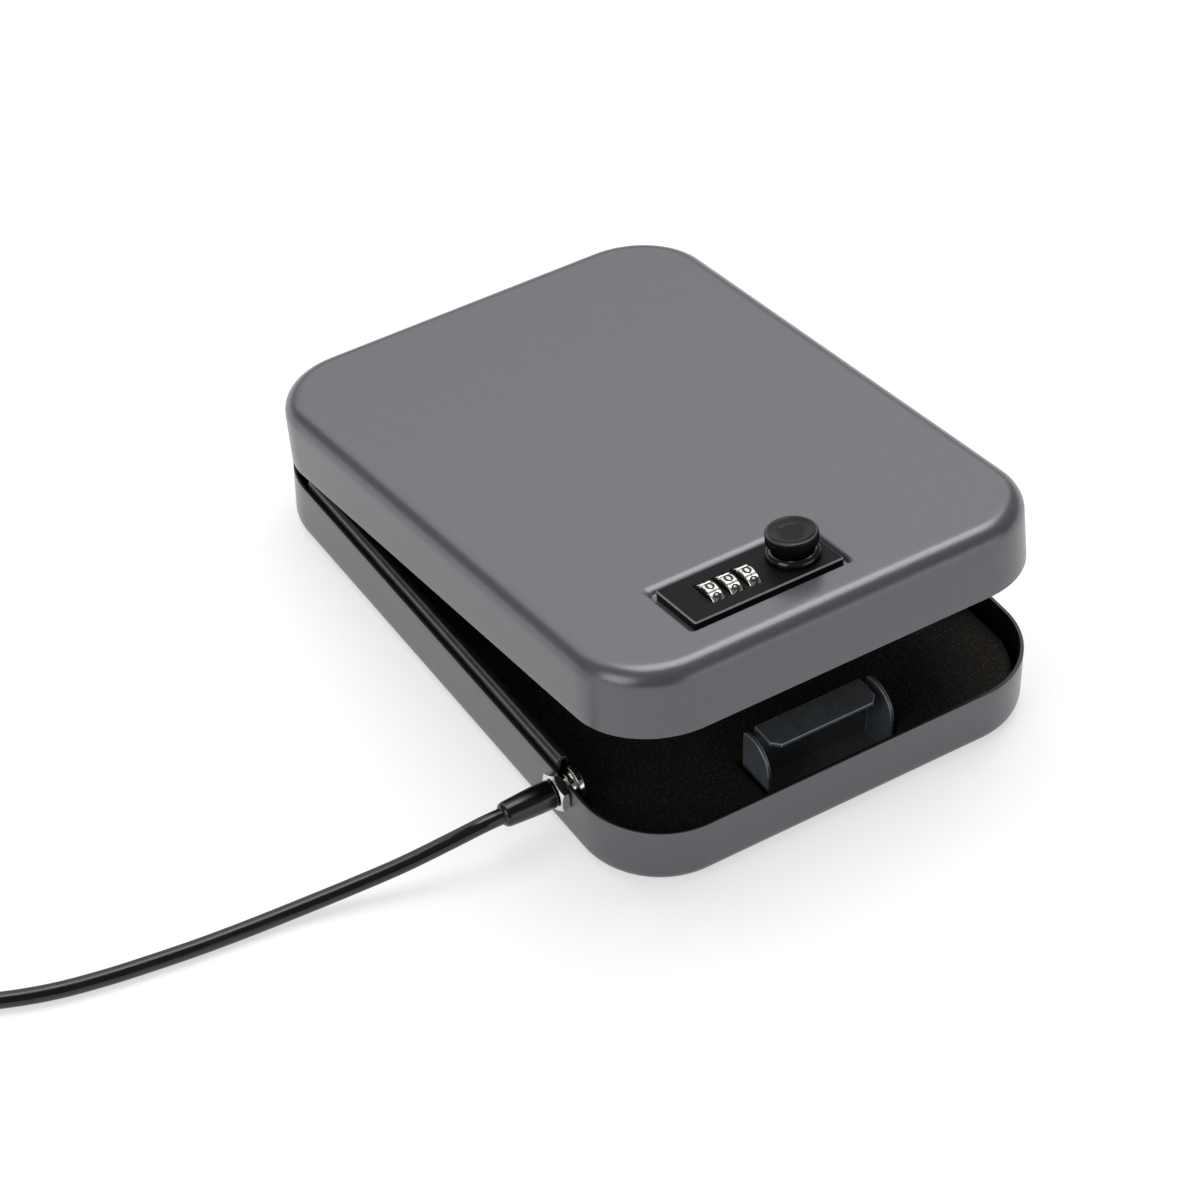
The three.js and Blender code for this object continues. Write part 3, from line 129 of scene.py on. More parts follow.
eye = ferrule_start + np.outer(eye_forward, heading) + np.outer(eye_aside, left_of_heading)
eye[:, 2] = FERRULE_Z - np.concatenate([half_drop, half_drop[-2::-1]])


def smooth_path(points, spacing, span_steps=24):
    """Centripetal Catmull-Rom curve: between two points it is the Barry-Goldman pyramid of four
    neighbours, whose knots are the square roots of their distances, in span_steps steps. The
    whole is then spaced evenly. Gives the curve and its length."""
    ends = [2 * points[0] - points[1]], [2 * points[-1] - points[-2]]
    padded = np.concatenate([ends[0], points, ends[1]])
    steps = np.sqrt(np.linalg.norm(np.diff(padded, axis=0), axis=1))
    knots = np.concatenate([[0], np.cumsum(steps)])
    segment = np.arange(len(points) - 1)
    at = [knots[segment + i][:, None, None] for i in range(4)]
    place = [padded[segment + i][:, None, :] for i in range(4)]
    share = np.linspace(0, 1, span_steps, endpoint=False)[None, :, None]
    t = at[1] + share * (at[2] - at[1])

    def between(a, b, low, high):
        return ((high - t) * a + (t - low) * b) / (high - low)

    first = [between(place[i], place[i + 1], at[i], at[i + 1]) for i in range(3)]
    second = [between(first[i], first[i + 1], at[i], at[i + 2]) for i in range(2)]
    curve = between(second[0], second[1], at[1], at[2]).reshape(-1, 3)
    curve = np.vstack([curve, points[-1]])
    run = np.concatenate([[0], np.cumsum(np.linalg.norm(np.diff(curve, axis=0), axis=1))])
    even_run = np.linspace(0, run[-1], round(run[-1] / spacing) + 1)
    return np.stack([np.interp(even_run, run, curve[:, i]) for i in range(3)], axis=-1), run[-1]


def tube_grid(path, radius, sides):
    """Circles square to the path, each with one radius level and the other as upright as it
    can be."""
    along = np.gradient(path, axis=0)
    along /= np.linalg.norm(along, axis=1, keepdims=True)
    level = np.cross(np.array([0, 0, 1.0]), along)
    level /= np.linalg.norm(level, axis=1, keepdims=True)
    upright = np.cross(along, level)
    angle = np.linspace(0, 2 * math.pi, sides, endpoint=False)[None, :, None]
    ring = np.cos(angle) * level[:, None] + np.sin(angle) * upright[:, None]
    return path[:, None] + radius * ring


def grid_piece(name, points, materials, closed_rows=False, bands=None, crease=40):
    """A piece skinned over a grid of points in millimetres, rows x columns x 3. Its columns close
    on themselves. Its rows close too, or end in fans about the end rows' means. Faces are turned
    outwards by the sign of the volume that they enclose, edges sharper than crease degrees stay
    sharp, and bands gives the number of the material between each row and the next."""
    rows, columns, _ = points.shape
    index = np.arange(rows * columns).reshape(rows, columns)
    if closed_rows:
        index = np.vstack([index, index[:1]])
    right = np.roll(index, -1, axis=1)
    quads = np.stack([index[:-1], right[:-1], right[1:], index[1:]], axis=-1).reshape(-1, 4)
    vertices = points.reshape(-1, 3)
    fans = np.empty((0, 3), np.int64)
    if not closed_rows:
        poles = np.full(columns, rows * columns)
        low = np.stack([right[0], index[0], poles], axis=-1)
        high = np.stack([index[-1], right[-1], poles + 1], axis=-1)
        vertices = np.vstack([vertices, points[0].mean(axis=0), points[-1].mean(axis=0)])
        fans = np.vstack([low, high])
    corners = vertices[np.vstack([quads[:, :3], quads[:, [0, 2, 3]], fans])]
    if np.einsum("ij,ij->", corners[:, 0], np.cross(corners[:, 1], corners[:, 2])) < 0:
        quads, fans = quads[:, ::-1], fans[:, ::-1]
    mesh = bpy.data.meshes.new(name)
    mesh.from_pydata(vertices / 1000, [], quads.tolist() + fans.tolist())
    mesh.shade_smooth()
    mesh.set_sharp_from_angle(angle=math.radians(crease))
    for material in materials:
        mesh.materials.append(material)
    if bands is not None:
        number = np.repeat(np.array(bands, np.int32), columns)
        ends = np.repeat(np.array([bands[0], bands[-1]], np.int32), len(fans) // 2)
        mesh.polygons.foreach_set("material_index", np.concatenate([number, ends]))
    piece = bpy.data.objects.new(name, mesh)
    bpy.context.scene.collection.objects.link(piece)
    return piece


def srgb(colour):
    """Linear RGBA of an sRGB hex colour."""
    channel = np.array([int(colour[i : i + 2], 16) / 255 for i in (1, 3, 5)])
    linear = np.where(channel <= 0.04045, channel / 12.92, ((channel + 0.055) / 1.055) ** 2.4)
    return (*(float(value) for value in linear), 1.0)


def add_node(material, kind, inputs=(), **settings):
    """Adds a node with its settings. inputs pairs a socket's name or number with a value, or
    with the socket that feeds it."""
    tree = material.node_tree
    node = tree.nodes.new(kind)
    for name, value in settings.items():
        setattr(node, name, value)
    for socket, value in dict(inputs).items():
        if isinstance(value, bpy.types.NodeSocket):
            tree.links.new(value, node.inputs[socket])
        else:
            node.inputs[socket].default_value = value
    return node


def new_finish(
    name, grain_mm, colours, roughness, bump_mm, detail=3.0, spread=(0.3, 0.7), **constants
):
    """A finish whose colour and roughness wander between two values with a noise of grain_mm, and
    whose surface stands up and down by bump_mm on the same grain. The noise's values in spread
    are the ones between which it wanders. constants go on the shader."""
    material = bpy.data.materials.new(name)
    material.use_nodes = True
    shader = material.node_tree.nodes["Principled BSDF"]
    for socket, value in constants.items():
        shader.inputs[socket.replace("_", " ")].default_value = value
    place = add_node(material, "ShaderNodeTexCoord").outputs["Object"]
    noise = add_node(
        material,
        "ShaderNodeTexNoise",
        {"Vector": place, "Scale": 1000 / grain_mm, "Detail": detail, "Roughness": 0.6},
    )
    share = add_node(
        material, "ShaderNodeMapRange", {0: noise.outputs[0], 1: spread[0], 2: spread[1]}
    ).outputs[0]
    colour = add_node(
        material,
        "ShaderNodeMix",
        {0: share, 6: srgb(colours[0]), 7: srgb(colours[1])},
        data_type="RGBA",
    )
    gloss = add_node(
        material, "ShaderNodeMapRange", {0: share, 3: roughness[0], 4: roughness[1]}
    )
    bump = add_node(
        material,
        "ShaderNodeBump",
        {"Height": noise.outputs[0], "Distance": bump_mm / 1000, "Strength": 1.0},
    )
    links = material.node_tree.links
    links.new(colour.outputs[2], shader.inputs["Base Color"])
    links.new(gloss.outputs[0], shader.inputs["Roughness"])
    links.new(bump.outputs[0], shader.inputs["Normal"])
    return material


# Plasticised PVC, extruded over the strands: black, glossy, with long soft waves of the lay.
cable_vinyl = new_finish(
    "extruded_black_pvc",
    grain_mm=9,
    colours=("#0a0a0b", "#101011"),
    roughness=(0.16, 0.24),
    bump_mm=0.04,
    detail=1.0,
    IOR=1.53,
)
cable_points = np.vstack([cable_route, coil, tail[:2], eye])
cable_path, cable_length = smooth_path(cable_points, spacing=2.4)
cable_grid = tube_grid(cable_path, CABLE_RADIUS, sides=20)
cable = grid_piece("security_cable", cable_grid, [cable_vinyl])
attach(cable, "case")
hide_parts("cable_lead", "cable_coil", "cable_tail", "cable_eye")

# Boot and ferrule: the boot is PVC moulded over the crimp at the stud, tapered, with a round
# nose. The ferrule is an oval aluminium sleeve pressed round both legs of the eye.
BOOT_START, BOOT_LENGTH, BOOT_NOSE, BOOT_CORE = -93.0, 20.0, 2.2, 0.6


def revolved(profile, sides=72):
    """Each [radius, height] of the profile carried round the Z axis."""
    profile = np.array(profile, float)
    angle = np.linspace(0, 2 * math.pi, sides, endpoint=False)[None]
    radius, height = profile[:, :1], profile[:, 1:]
    return np.stack(
        [radius * np.cos(angle), radius * np.sin(angle), height + 0 * angle], axis=-1
    )


def arc(radius, height, size, start, stop, steps):
    """Points of an arc of that size about [radius, height], from start to stop degrees."""
    angle = np.radians(np.linspace(start, stop, steps + 1))
    return np.stack([radius + size * np.cos(angle), height + size * np.sin(angle)], axis=-1)


def out_of_the_wall(points, x):
    """Turns a shape that stands on Z so that it stands out of the tray's left wall at x."""
    return np.stack(
        [x - points[..., 2], STUD_Y + points[..., 1], STUD_Z + points[..., 0]], axis=-1
    )


boot_profile = np.vstack([
    [[BOOT_CORE, 0]],
    arc(4.6, 0.5, 0.5, -90, 0, steps=4),
    [[5.1, 6.5], [4.9, 11.0], [4.65, 15.5]],
    arc(2.3, BOOT_LENGTH - BOOT_NOSE, BOOT_NOSE, 0, 90, steps=10),
    [[BOOT_CORE, BOOT_LENGTH]],
])
boot_grid = out_of_the_wall(revolved(boot_profile), BOOT_START)
boot = grid_piece("cable_boot_moulding", boot_grid, [cable_vinyl])
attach(boot, "case")
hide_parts("cable_boot")

# Aluminium, pressed in a die: silver grey, dull, with fine marks.
pressed_aluminium = new_finish(
    "pressed_aluminium",
    grain_mm=1.5,
    colours=("#9b9da0", "#b4b6b8"),
    roughness=(0.34, 0.5),
    bump_mm=0.01,
    Metallic=1.0,
)
# The oval is two half circles with a flat between them. The rows are [way along, size].
FERRULE_RADIUS, FERRULE_HALF_FLAT = 3.8, 3.0
around = np.linspace(0, 2 * math.pi, 48, endpoint=False)
oval = np.stack(
    [
        FERRULE_HALF_FLAT * np.sign(np.cos(around)) + FERRULE_RADIUS * np.cos(around),
        FERRULE_RADIUS * np.sin(around),
    ],
    axis=-1,
)
ferrule_rows = np.array([
    (0, 0.7), (0.3, 0.86), (1, 1),
    (FERRULE_LENGTH - 1, 1), (FERRULE_LENGTH - 0.3, 0.86), (FERRULE_LENGTH, 0.7),
])
ferrule_grid = (
    ferrule_start
    + ferrule_rows[:, 0, None, None] * heading
    + ferrule_rows[:, 1, None, None] * oval[None, :, :1] * left_of_heading
    + ferrule_rows[:, 1, None, None] * oval[None, :, 1:] * np.array([0, 0, 1.0])
)
ferrule = grid_piece("eye_ferrule", ferrule_grid, [pressed_aluminium])
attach(ferrule, "case")
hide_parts("cable_ferrule")

# Floor and light: a plain white floor that keeps the safe's shadow, a broad lamp behind, smaller
# ones overhead and to the left, a dim panel in front, and an even dim studio round them. The
# sizes and places of these are in metres.
FLOOR_HALF = 9
floor_corners = [
    (x * FLOOR_HALF, y * FLOOR_HALF, 0) for x, y in ((-1, -1), (1, -1), (1, 1), (-1, 1))
]
floor_mesh = bpy.data.meshes.new("floor")
floor_mesh.from_pydata(floor_corners, [], [(0, 1, 2, 3)])
floor = bpy.data.objects.new("floor", floor_mesh)
bpy.context.scene.collection.objects.link(floor)
floor_white = bpy.data.materials.new("floor_white")
floor_white.use_nodes = True
floor_nodes = floor_white.node_tree
floor_nodes.nodes.remove(floor_nodes.nodes["Principled BSDF"])
# Seen by the camera, in a mirror or through glass the floor is white, a matt sheet that glows a
# little, and its shadow stays. What it throws back at the safe is the light of a grey matt sheet.
light_path = add_node(floor_white, "ShaderNodeLightPath")
seen = light_path.outputs["Is Camera Ray"]
for ray in ("Is Glossy Ray", "Is Transmission Ray"):
    seen = add_node(
        floor_white,
        "ShaderNodeMath",
        {0: seen, 1: light_path.outputs[ray]},
        operation="MAXIMUM",
    ).outputs[0]
matt = add_node(floor_white, "ShaderNodeBsdfDiffuse", {"Color": srgb("#9a9a9a")})
shown_matt = add_node(floor_white, "ShaderNodeBsdfDiffuse", {"Color": srgb("#bababa")})
glow = add_node(floor_white, "ShaderNodeEmission", {"Color": (1, 1, 1, 1), "Strength": 0.6})
shown = add_node(
    floor_white, "ShaderNodeAddShader", {0: shown_matt.outputs[0], 1: glow.outputs[0]}
)
chosen = add_node(
    floor_white,
    "ShaderNodeMixShader",
    {0: seen, 1: matt.outputs[0], 2: shown.outputs[0]},
)
floor_nodes.links.new(chosen.outputs[0], floor_nodes.nodes["Material Output"].inputs["Surface"])
floor_mesh.materials.append(floor_white)


def soft_lamp(name, place, power, width, depth, turn=0):
    """A lamp of width by depth at place, in metres, that faces the safe, turned about its axis."""
    lamp = bpy.data.lights.new(name, "AREA")
    lamp.shape, lamp.size, lamp.size_y, lamp.energy = "RECTANGLE", width, depth, power
    holder = bpy.data.objects.new(name, lamp)
    facing = (-Vector(place)).to_track_quat("-Z", "Y").to_matrix().to_4x4()
    roll = Matrix.Rotation(math.radians(turn), 4, "Z")
    holder.matrix_world = Matrix.Translation(place) @ facing @ roll
    bpy.context.scene.collection.objects.link(holder)


soft_lamp("rear_lamp", (0.6, 1.75, 1.7), power=31, width=3.8, depth=2.4)
soft_lamp("overhead_lamp", (0.45, 0.4, 2.1), power=31, width=2.2, depth=1.2, turn=45)
soft_lamp("left_lamp", (-1.8, -0.4, 0.9), power=11, width=1.2, depth=1.2)
soft_lamp("front_panel", (0.9, -1.9, 0.4), power=5, width=1.8, depth=0.8)
world = bpy.data.worlds.new("studio")
world.use_nodes = True
world.node_tree.nodes["Background"].inputs["Color"].default_value = srgb("#b4b4b4")
world.node_tree.nodes["Background"].inputs["Strength"].default_value = 0.35
bpy.context.scene.world = world
bpy.context.scene.view_settings.view_transform = "Standard"

# Tray: drawn from 1.5 mm steel sheet, its edges round, powder coated grey outside and black
# inside and on the rim. A U-notch in the left wall takes the stud and a slot in the back rim
# lets the hinge's leaf out.
CASE_WIDTH, CASE_LENGTH, CORNER, WALL = 178.0, 254.0, 31.0, 1.5
TRAY_HEIGHT, TRAY_EDGE = 24.2, 5.2
SLOT_HALF, SLOT_DEPTH, NOTCH_RADIUS = 55.3, 1.15, 3.8
RIM_ROUND, FAN_INSET = 0.35, 28
ROUND_STEPS, WALL_STEPS, CORNER_STEPS = 4, 5, 24
# A loop's sides are numbered anticlockwise from the back.
BACK, LEFT = 0, 1


def rounded_loop(width, length, radius, stations, x=0.0, y=0.0):
    """Rounded rectangle, anticlockwise: four quarter circles joined by the back, left, front and
    right sides, each side cut at its own shares of its length."""
    turn = np.linspace(0, math.pi / 2, CORNER_STEPS + 1)
    corners = [
        np.stack(
            [
                x + sx * (width / 2 - radius) + radius * np.cos(turn + q * math.pi / 2),
                y + sy * (length / 2 - radius) + radius * np.sin(turn + q * math.pi / 2),
            ],
            axis=-1,
        )
        for q, (sx, sy) in enumerate([(1, 1), (-1, 1), (-1, -1), (1, -1)])
    ]
    sides = [
        corners[q][-1] + np.outer(stations[q], corners[(q + 1) % 4][0] - corners[q][-1])
        for q in range(4)
    ]
    return np.vstack([part for q in range(4) for part in (corners[q], sides[q])])


def drawn_rows(profile, stations, rim_lift):
    """Rows of a drawn shell. Each [inset, height, share] of the profile is the case's outline
    moved in by inset, at that height plus its share of how far the rim stands off there."""
    loops = np.stack([
        rounded_loop(CASE_WIDTH - 2 * inset, CASE_LENGTH - 2 * inset, CORNER - inset, stations)
        for inset, _, _ in profile
    ])
    height = profile[:, 1, None] + profile[:, 2, None] * rim_lift[None]
    return np.concatenate([loops, height[..., None]], axis=-1)


def wall_profile(rim, edge):
    """Half section of a drawn dish that stands on height 0, in rows of [inset, height, share]:
    its outer side, which is a quarter round, the wall and the rim's quarter round, and its inner
    side, which is the same a wall's thickness further in and comes back down."""
    quarter = np.radians(np.linspace(0, 90, 11))
    small = np.radians(np.linspace(0, 90, ROUND_STEPS + 1))[1:]
    rise = np.linspace(0, 1, WALL_STEPS + 1)[1:, None]
    top = rim - RIM_ROUND
    inner_edge = edge - WALL
    outer_bend = np.stack(
        [edge * (1 - np.sin(quarter)), edge * (1 - np.cos(quarter)), 0 * quarter], axis=-1
    )
    outer_wall = np.hstack([0 * rise, edge + rise * (top - edge), rise])
    outer_rim = np.stack(
        [RIM_ROUND * (1 - np.cos(small)), top + RIM_ROUND * np.sin(small), 1 + 0 * small],
        axis=-1,
    )
    inner_top = [[WALL - RIM_ROUND, rim, 1]]
    inner_rim = np.stack(
        [
            WALL - RIM_ROUND * (1 - np.sin(small)),
            top + RIM_ROUND * np.cos(small),
            1 + 0 * small,
        ],
        axis=-1,
    )
    inner_wall = np.hstack([WALL + 0 * rise, top - rise * (top - edge), 1 - rise])
    inner_bend = np.stack(
        [edge - inner_edge * np.cos(quarter), edge - inner_edge * np.sin(quarter), 0 * quarter],
        axis=-1,
    )
    outer = np.vstack([outer_bend, outer_wall, outer_rim])
    inner = np.vstack([inner_top, inner_rim, inner_wall, inner_bend[1:]])
    return outer, inner


def rim_lift_of(stations, parts):
    """How far the rim stands off its height at each point of the loop: 0, except where parts
    gives the number of a side, the first point there, and the lifts from it on."""
    lift = [np.zeros(CORNER_STEPS + 1 + len(side)) for side in stations]
    for side, first, values in parts:
        start = CORNER_STEPS + 1 + first
        lift[side][start : start + len(values)] = values
    return np.concatenate(lift)


# Where the back and left sides are cut: the rim steps down to the slot and to the notch in the
# short way from one point to the next.
SLOT_STEP, NOTCH_STEP = 0.02, 0.03
straight_x, straight_y = CASE_WIDTH / 2 - CORNER, CASE_LENGTH / 2 - CORNER
slot_ends = np.array([SLOT_HALF + SLOT_STEP, SLOT_HALF - SLOT_STEP])
back_x = np.concatenate([slot_ends, np.linspace(44, -44, 9), -slot_ends[::-1]])
notch_turn = np.radians(np.linspace(0, 180, 13))
behind_notch = np.append(np.linspace(80, -60, 8), STUD_Y + NOTCH_RADIUS + NOTCH_STEP)
left_y = np.concatenate([
    behind_notch,
    STUD_Y + NOTCH_RADIUS * np.cos(notch_turn),
    [STUD_Y - NOTCH_RADIUS - NOTCH_STEP],
])
even_shares = np.linspace(0, 1, 9)[1:-1]
back_shares = (straight_x - back_x) / (2 * straight_x)
left_shares = (straight_y - left_y) / (2 * straight_y)
tray_stations = [back_shares, left_shares, even_shares, even_shares]
slot_drop = np.full(len(back_x) - 2, -SLOT_DEPTH)
notch_drop = STUD_Z - NOTCH_RADIUS * np.sin(notch_turn) - TRAY_HEIGHT
tray_lift = rim_lift_of(
    tray_stations, [(BACK, 1, slot_drop), (LEFT, len(behind_notch), notch_drop)]
)
tray_outer, tray_inner = wall_profile(TRAY_HEIGHT, TRAY_EDGE)
tray_flat = np.array([(FAN_INSET, 0, 0), (TRAY_EDGE + 0.5, 0, 0)])
tray_profile = np.vstack([tray_flat, tray_outer, tray_inner, tray_flat[::-1] + [0, WALL, 0]])
# Powder coat on steel, with metal flake: a satin grey with the fine ripple of orange peel, dark
# where it mirrors the dim studio and bright where it mirrors a lamp.
grey_coat = new_finish(
    "powder_coat_grey",
    grain_mm=2.2,
    colours=("#68696d", "#6e6f73"),
    roughness=(0.285, 0.31),
    bump_mm=0.02,
    detail=1.0,
    spread=(0.0, 1.0),
    Metallic=0.52,
)
# The same coat in black, without the flake: dark and satin, on the inside and the rim.
black_coat = new_finish(
    "powder_coat_black",
    grain_mm=0.9,
    colours=("#0b0b0c", "#131314"),
    roughness=(0.3, 0.42),
    bump_mm=0.012,
    IOR=1.5,
)
grey_rows = len(tray_flat) + len(tray_outer) - ROUND_STEPS
tray = grid_piece(
    "drawn_tray",
    drawn_rows(tray_profile, tray_stations, tray_lift),
    [grey_coat, black_coat],
    bands=np.where(np.arange(len(tray_profile) - 1) < grey_rows, 0, 1),
)
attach(tray, "case")
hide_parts("tray_shell")

# Lid: drawn like the tray and turned over. A recess with a soft edge is pressed in for the
# faceplate, and the lock's body goes through the opening in its floor.
LID_RIM, LID_TOP, LID_EDGE = 24.8, 51.3, 7.3
HINGE_Y, HINGE_Z, LID_OPEN = 130.1, 24.5, math.radians(9.4)
PLATE_X, PLATE_Y, PLATE_LENGTH, PLATE_DEPTH = -18.2, -97.0, 60.0, 24.5
RECESS_FLOOR, RECESS_DEPTH, RECESS_GAP, RECESS_CORNER = 49.1, 2.2, 1.2, 2.2
SLOPE_SIDE, SLOPE_FRONT, SLOPE_BACK = 2.3, 1.3, 4.8
OPENING_LENGTH, OPENING_DEPTH, OPENING_CORNER = 56.6, 22.6, 1.3


def opened(points):
    """Turns points given for the shut lid about the hinge's pin, to where the lid stands open."""
    turned = points.copy()
    y, z = points[..., 1] - HINGE_Y, points[..., 2] - HINGE_Z
    turned[..., 1] = HINGE_Y + y * math.cos(LID_OPEN) + z * math.sin(LID_OPEN)
    turned[..., 2] = HINGE_Z - y * math.sin(LID_OPEN) + z * math.cos(LID_OPEN)
    return turned


def outlined_rows(outlines, stations):
    """Rounded rectangles round the faceplate: each [length, depth, radius, how far behind the
    plate's middle, height]."""
    rows = []
    for length, depth, radius, back, height in outlines:
        loop = rounded_loop(length, depth, radius, stations, PLATE_X, PLATE_Y + back)
        rows.append(np.insert(loop, 2, height, axis=1))
    return np.stack(rows)


# The pressed edge rounds over softly at its rim and falls steeply to the recess's floor: shares
# of the way out from the floor, and of the depth there, on an S drawn through these points.
way, rise = np.array([
    (1, 1), (0.9, 0.986), (0.8, 0.95), (0.7, 0.895), (0.6, 0.82), (0.5, 0.725), (0.42, 0.63),
    (0.35, 0.53), (0.3, 0.445), (0.26, 0.36), (0.22, 0.265), (0.18, 0.175), (0.13, 0.085),
    (0.07, 0.02), (0, 0),
]).T[:, :, None]
soft_edge = np.hstack([
    PLATE_LENGTH + 2 * RECESS_GAP + 2 * SLOPE_SIDE * way,
    PLATE_DEPTH + 2 * RECESS_GAP + (SLOPE_FRONT + SLOPE_BACK) * way,
    RECESS_CORNER + 0 * way,
    (SLOPE_BACK - SLOPE_FRONT) / 2 * way,
    RECESS_DEPTH * rise,
])
recess = np.vstack([soft_edge[:1] + [1, 1, 0.5, 0, 0], soft_edge])
outer_recess = recess + [0, 0, 0, 0, RECESS_FLOOR]
inner_recess = (recess + [2 * WALL, 2 * WALL, WALL, 0, RECESS_FLOOR - WALL])[::-1]
opening = [
    (OPENING_LENGTH, OPENING_DEPTH, OPENING_CORNER, 0, height)
    for height in (RECESS_FLOOR, RECESS_FLOOR - WALL)
]
lid_stations = [back_shares, even_shares, even_shares, even_shares]
lid_lift = rim_lift_of(lid_stations, [(BACK, 1, -slot_drop)])
lid_outer, lid_inner = wall_profile(LID_TOP - LID_RIM, LID_EDGE)
lid_flat = np.array([(LID_EDGE + 0.5, 0, 0)])
lid_outer = np.vstack([lid_flat, lid_outer])[::-1] * [1, -1, 1] + [0, LID_TOP, 0]
lid_inner = np.vstack([lid_inner, lid_flat + [0, WALL, 0]])[::-1] * [1, -1, 1] + [0, LID_TOP, 0]
lid_rows = np.concatenate([
    drawn_rows(lid_outer, lid_stations, lid_lift),
    outlined_rows(np.vstack([outer_recess, opening, inner_recess]), lid_stations),
    drawn_rows(lid_inner, lid_stations, lid_lift),
])
row = np.arange(len(lid_rows))
is_grey = (row >= ROUND_STEPS - 1) & (row < len(lid_outer) + len(outer_recess))
lid = grid_piece(
    "drawn_lid",
    opened(lid_rows),
    [grey_coat, black_coat],
    closed_rows=True,
    bands=np.where(is_grey, 0, 1),
)
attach(lid, "lid")
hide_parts("lid_shell")

# Anti-pry rails: steel strips, bent up inside the long walls and rolled inwards on top, spot
# welded to them and blackened.
RAIL_X, RAIL_FRONT, RAIL_BACK, RAIL_BOTTOM, RAIL_TOP = 87.2, -77.0, 96.0, 15.4, 28.4
ROLL, RAIL_STEEL, RAIL_WAIST, ROLL_TIP_DROP = 2.35, 1.2, 20, 0.7
# Black oxide on rolled steel: dark and satin, and the roll catches the light as a grey line.
rail_black = new_finish(
    "black_oxide_steel",
    grain_mm=6,
    colours=("#505154", "#5b5c5f"),
    roughness=(0.3, 0.35),
    bump_mm=0.004,
    detail=1.5,
    Metallic=0.85,
)
roll_z = RAIL_TOP - ROLL
rail_section = np.vstack([
    [[0.2, RAIL_BOTTOM], [0, RAIL_BOTTOM + 0.2], [0, RAIL_WAIST]],
    arc(ROLL, roll_z, ROLL, 180, 0, steps=28),
    arc(2 * ROLL - RAIL_STEEL / 2, roll_z - ROLL_TIP_DROP, RAIL_STEEL / 2, 0, -180, steps=8),
    arc(ROLL, roll_z, ROLL - RAIL_STEEL, 0, 180, steps=14),
    [[RAIL_STEEL, RAIL_WAIST], [RAIL_STEEL, RAIL_BOTTOM + 0.2], [RAIL_STEEL - 0.2, RAIL_BOTTOM]],
])
# The section shrinks towards its middle over the last millimetre, so the ends are round.
end_y = np.array([0, 0.15, 0.5, 1])
end_size = np.array([0.86, 0.96, 0.995, 1])
rail_y = np.concatenate([
    RAIL_FRONT + end_y, np.linspace(-70, 90, 9), RAIL_BACK - end_y[::-1]
])
rail_size = np.concatenate([end_size, np.ones(9), end_size[::-1]])
rail_middle = rail_section.mean(axis=0)
section = rail_middle + rail_size[:, None, None] * (rail_section - rail_middle)
for name, side in (("left", -1), ("right", 1)):
    rail_grid = np.stack(
        [
            side * (RAIL_X - section[..., 0]),
            np.repeat(rail_y[:, None], len(rail_section), axis=1),
            section[..., 1],
        ],
        axis=-1,
    )
    rail = grid_piece(name + "_rolled_rail", rail_grid, [rail_black], crease=50)
    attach(rail, "case")
    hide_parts("side_rail_" + name)

# Strike and small steel parts: blanked and folded from sheet, so their edges are a little round.
# The strike is zinc plated black, the parts of the hinge and inside the lock are plain.
# Points this near to each other are one. It is in metres, as the CAD frame is.
SAME_POINT = 2e-6


def eased_copy(node, name, material, ease, body, crease=35):
    """A copy of a CAD node whose doubles are merged and flat faces joined, each edge sharper than
    crease degrees rounded by ease millimetres."""
    mesh = bpy.data.meshes.new(name)
    work = bmesh.new()
    work.from_mesh(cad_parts[node].data)
    bmesh.ops.remove_doubles(work, verts=work.verts, dist=SAME_POINT)
    bmesh.ops.dissolve_limit(
        work, angle_limit=math.radians(0.6), verts=work.verts, edges=work.edges
    )
    work.to_mesh(mesh)
    work.free()
    mesh.materials.clear()
    mesh.materials.append(material)
    mesh.shade_smooth()
    mesh.set_sharp_from_angle(angle=math.radians(crease))
    piece = bpy.data.objects.new(name, mesh)
    bpy.context.scene.collection.objects.link(piece)
    edge = piece.modifiers.new("edge", "BEVEL")
    edge.width, edge.segments, edge.limit_method = ease / 1000, 2, "ANGLE"
    edge.angle_limit = math.radians(crease)
    edge.use_clamp_overlap, edge.harden_normals = True, True
    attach(piece, body)
    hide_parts(node)
    return piece


def baked_mesh(piece):
    """The piece's mesh as its modifiers leave it."""
    bpy.context.view_layer.update()
    made = piece.evaluated_get(bpy.context.evaluated_depsgraph_get())
    return bpy.data.meshes.new_from_object(made)


# Black zinc on steel: blue-black, satin, a little uneven.
black_zinc = new_finish(
    "black_zinc_plate",
    grain_mm=2.5,
    colours=("#666b71", "#767c82"),
    roughness=(0.38, 0.48),
    bump_mm=0.004,
    Metallic=0.3,
)
# The same plate in a light grey, laid on the strike's folded edges: a painted highlight where they
# catch the light.
highlight_zinc = new_finish(
    "painted_highlight_zinc_edge",
    grain_mm=1.5,
    colours=("#a3a9ae", "#b9bfc4"),
    roughness=(0.3, 0.4),
    bump_mm=0.002,
    Metallic=0.3,
)
# Cold-rolled steel: a bare metal grey, satin, mottled on a fine grain.
bare_steel = new_finish(
    "cold_rolled_steel",
    grain_mm=0.8,
    colours=("#85878a", "#9c9ea0"),
    roughness=(0.28, 0.42),
    bump_mm=0.004,
    Metallic=1.0,
)
strike = eased_copy(
    "latch_strike",
    "folded_strike",
    black_zinc,
    ease=0.35,
    body="case",
)
# Every rounded edge first takes the light grey of the painted highlight.
strike.data.materials.append(highlight_zinc)
strike.modifiers["edge"].material = 1
strike.data = baked_mesh(strike)
strike.modifiers.clear()
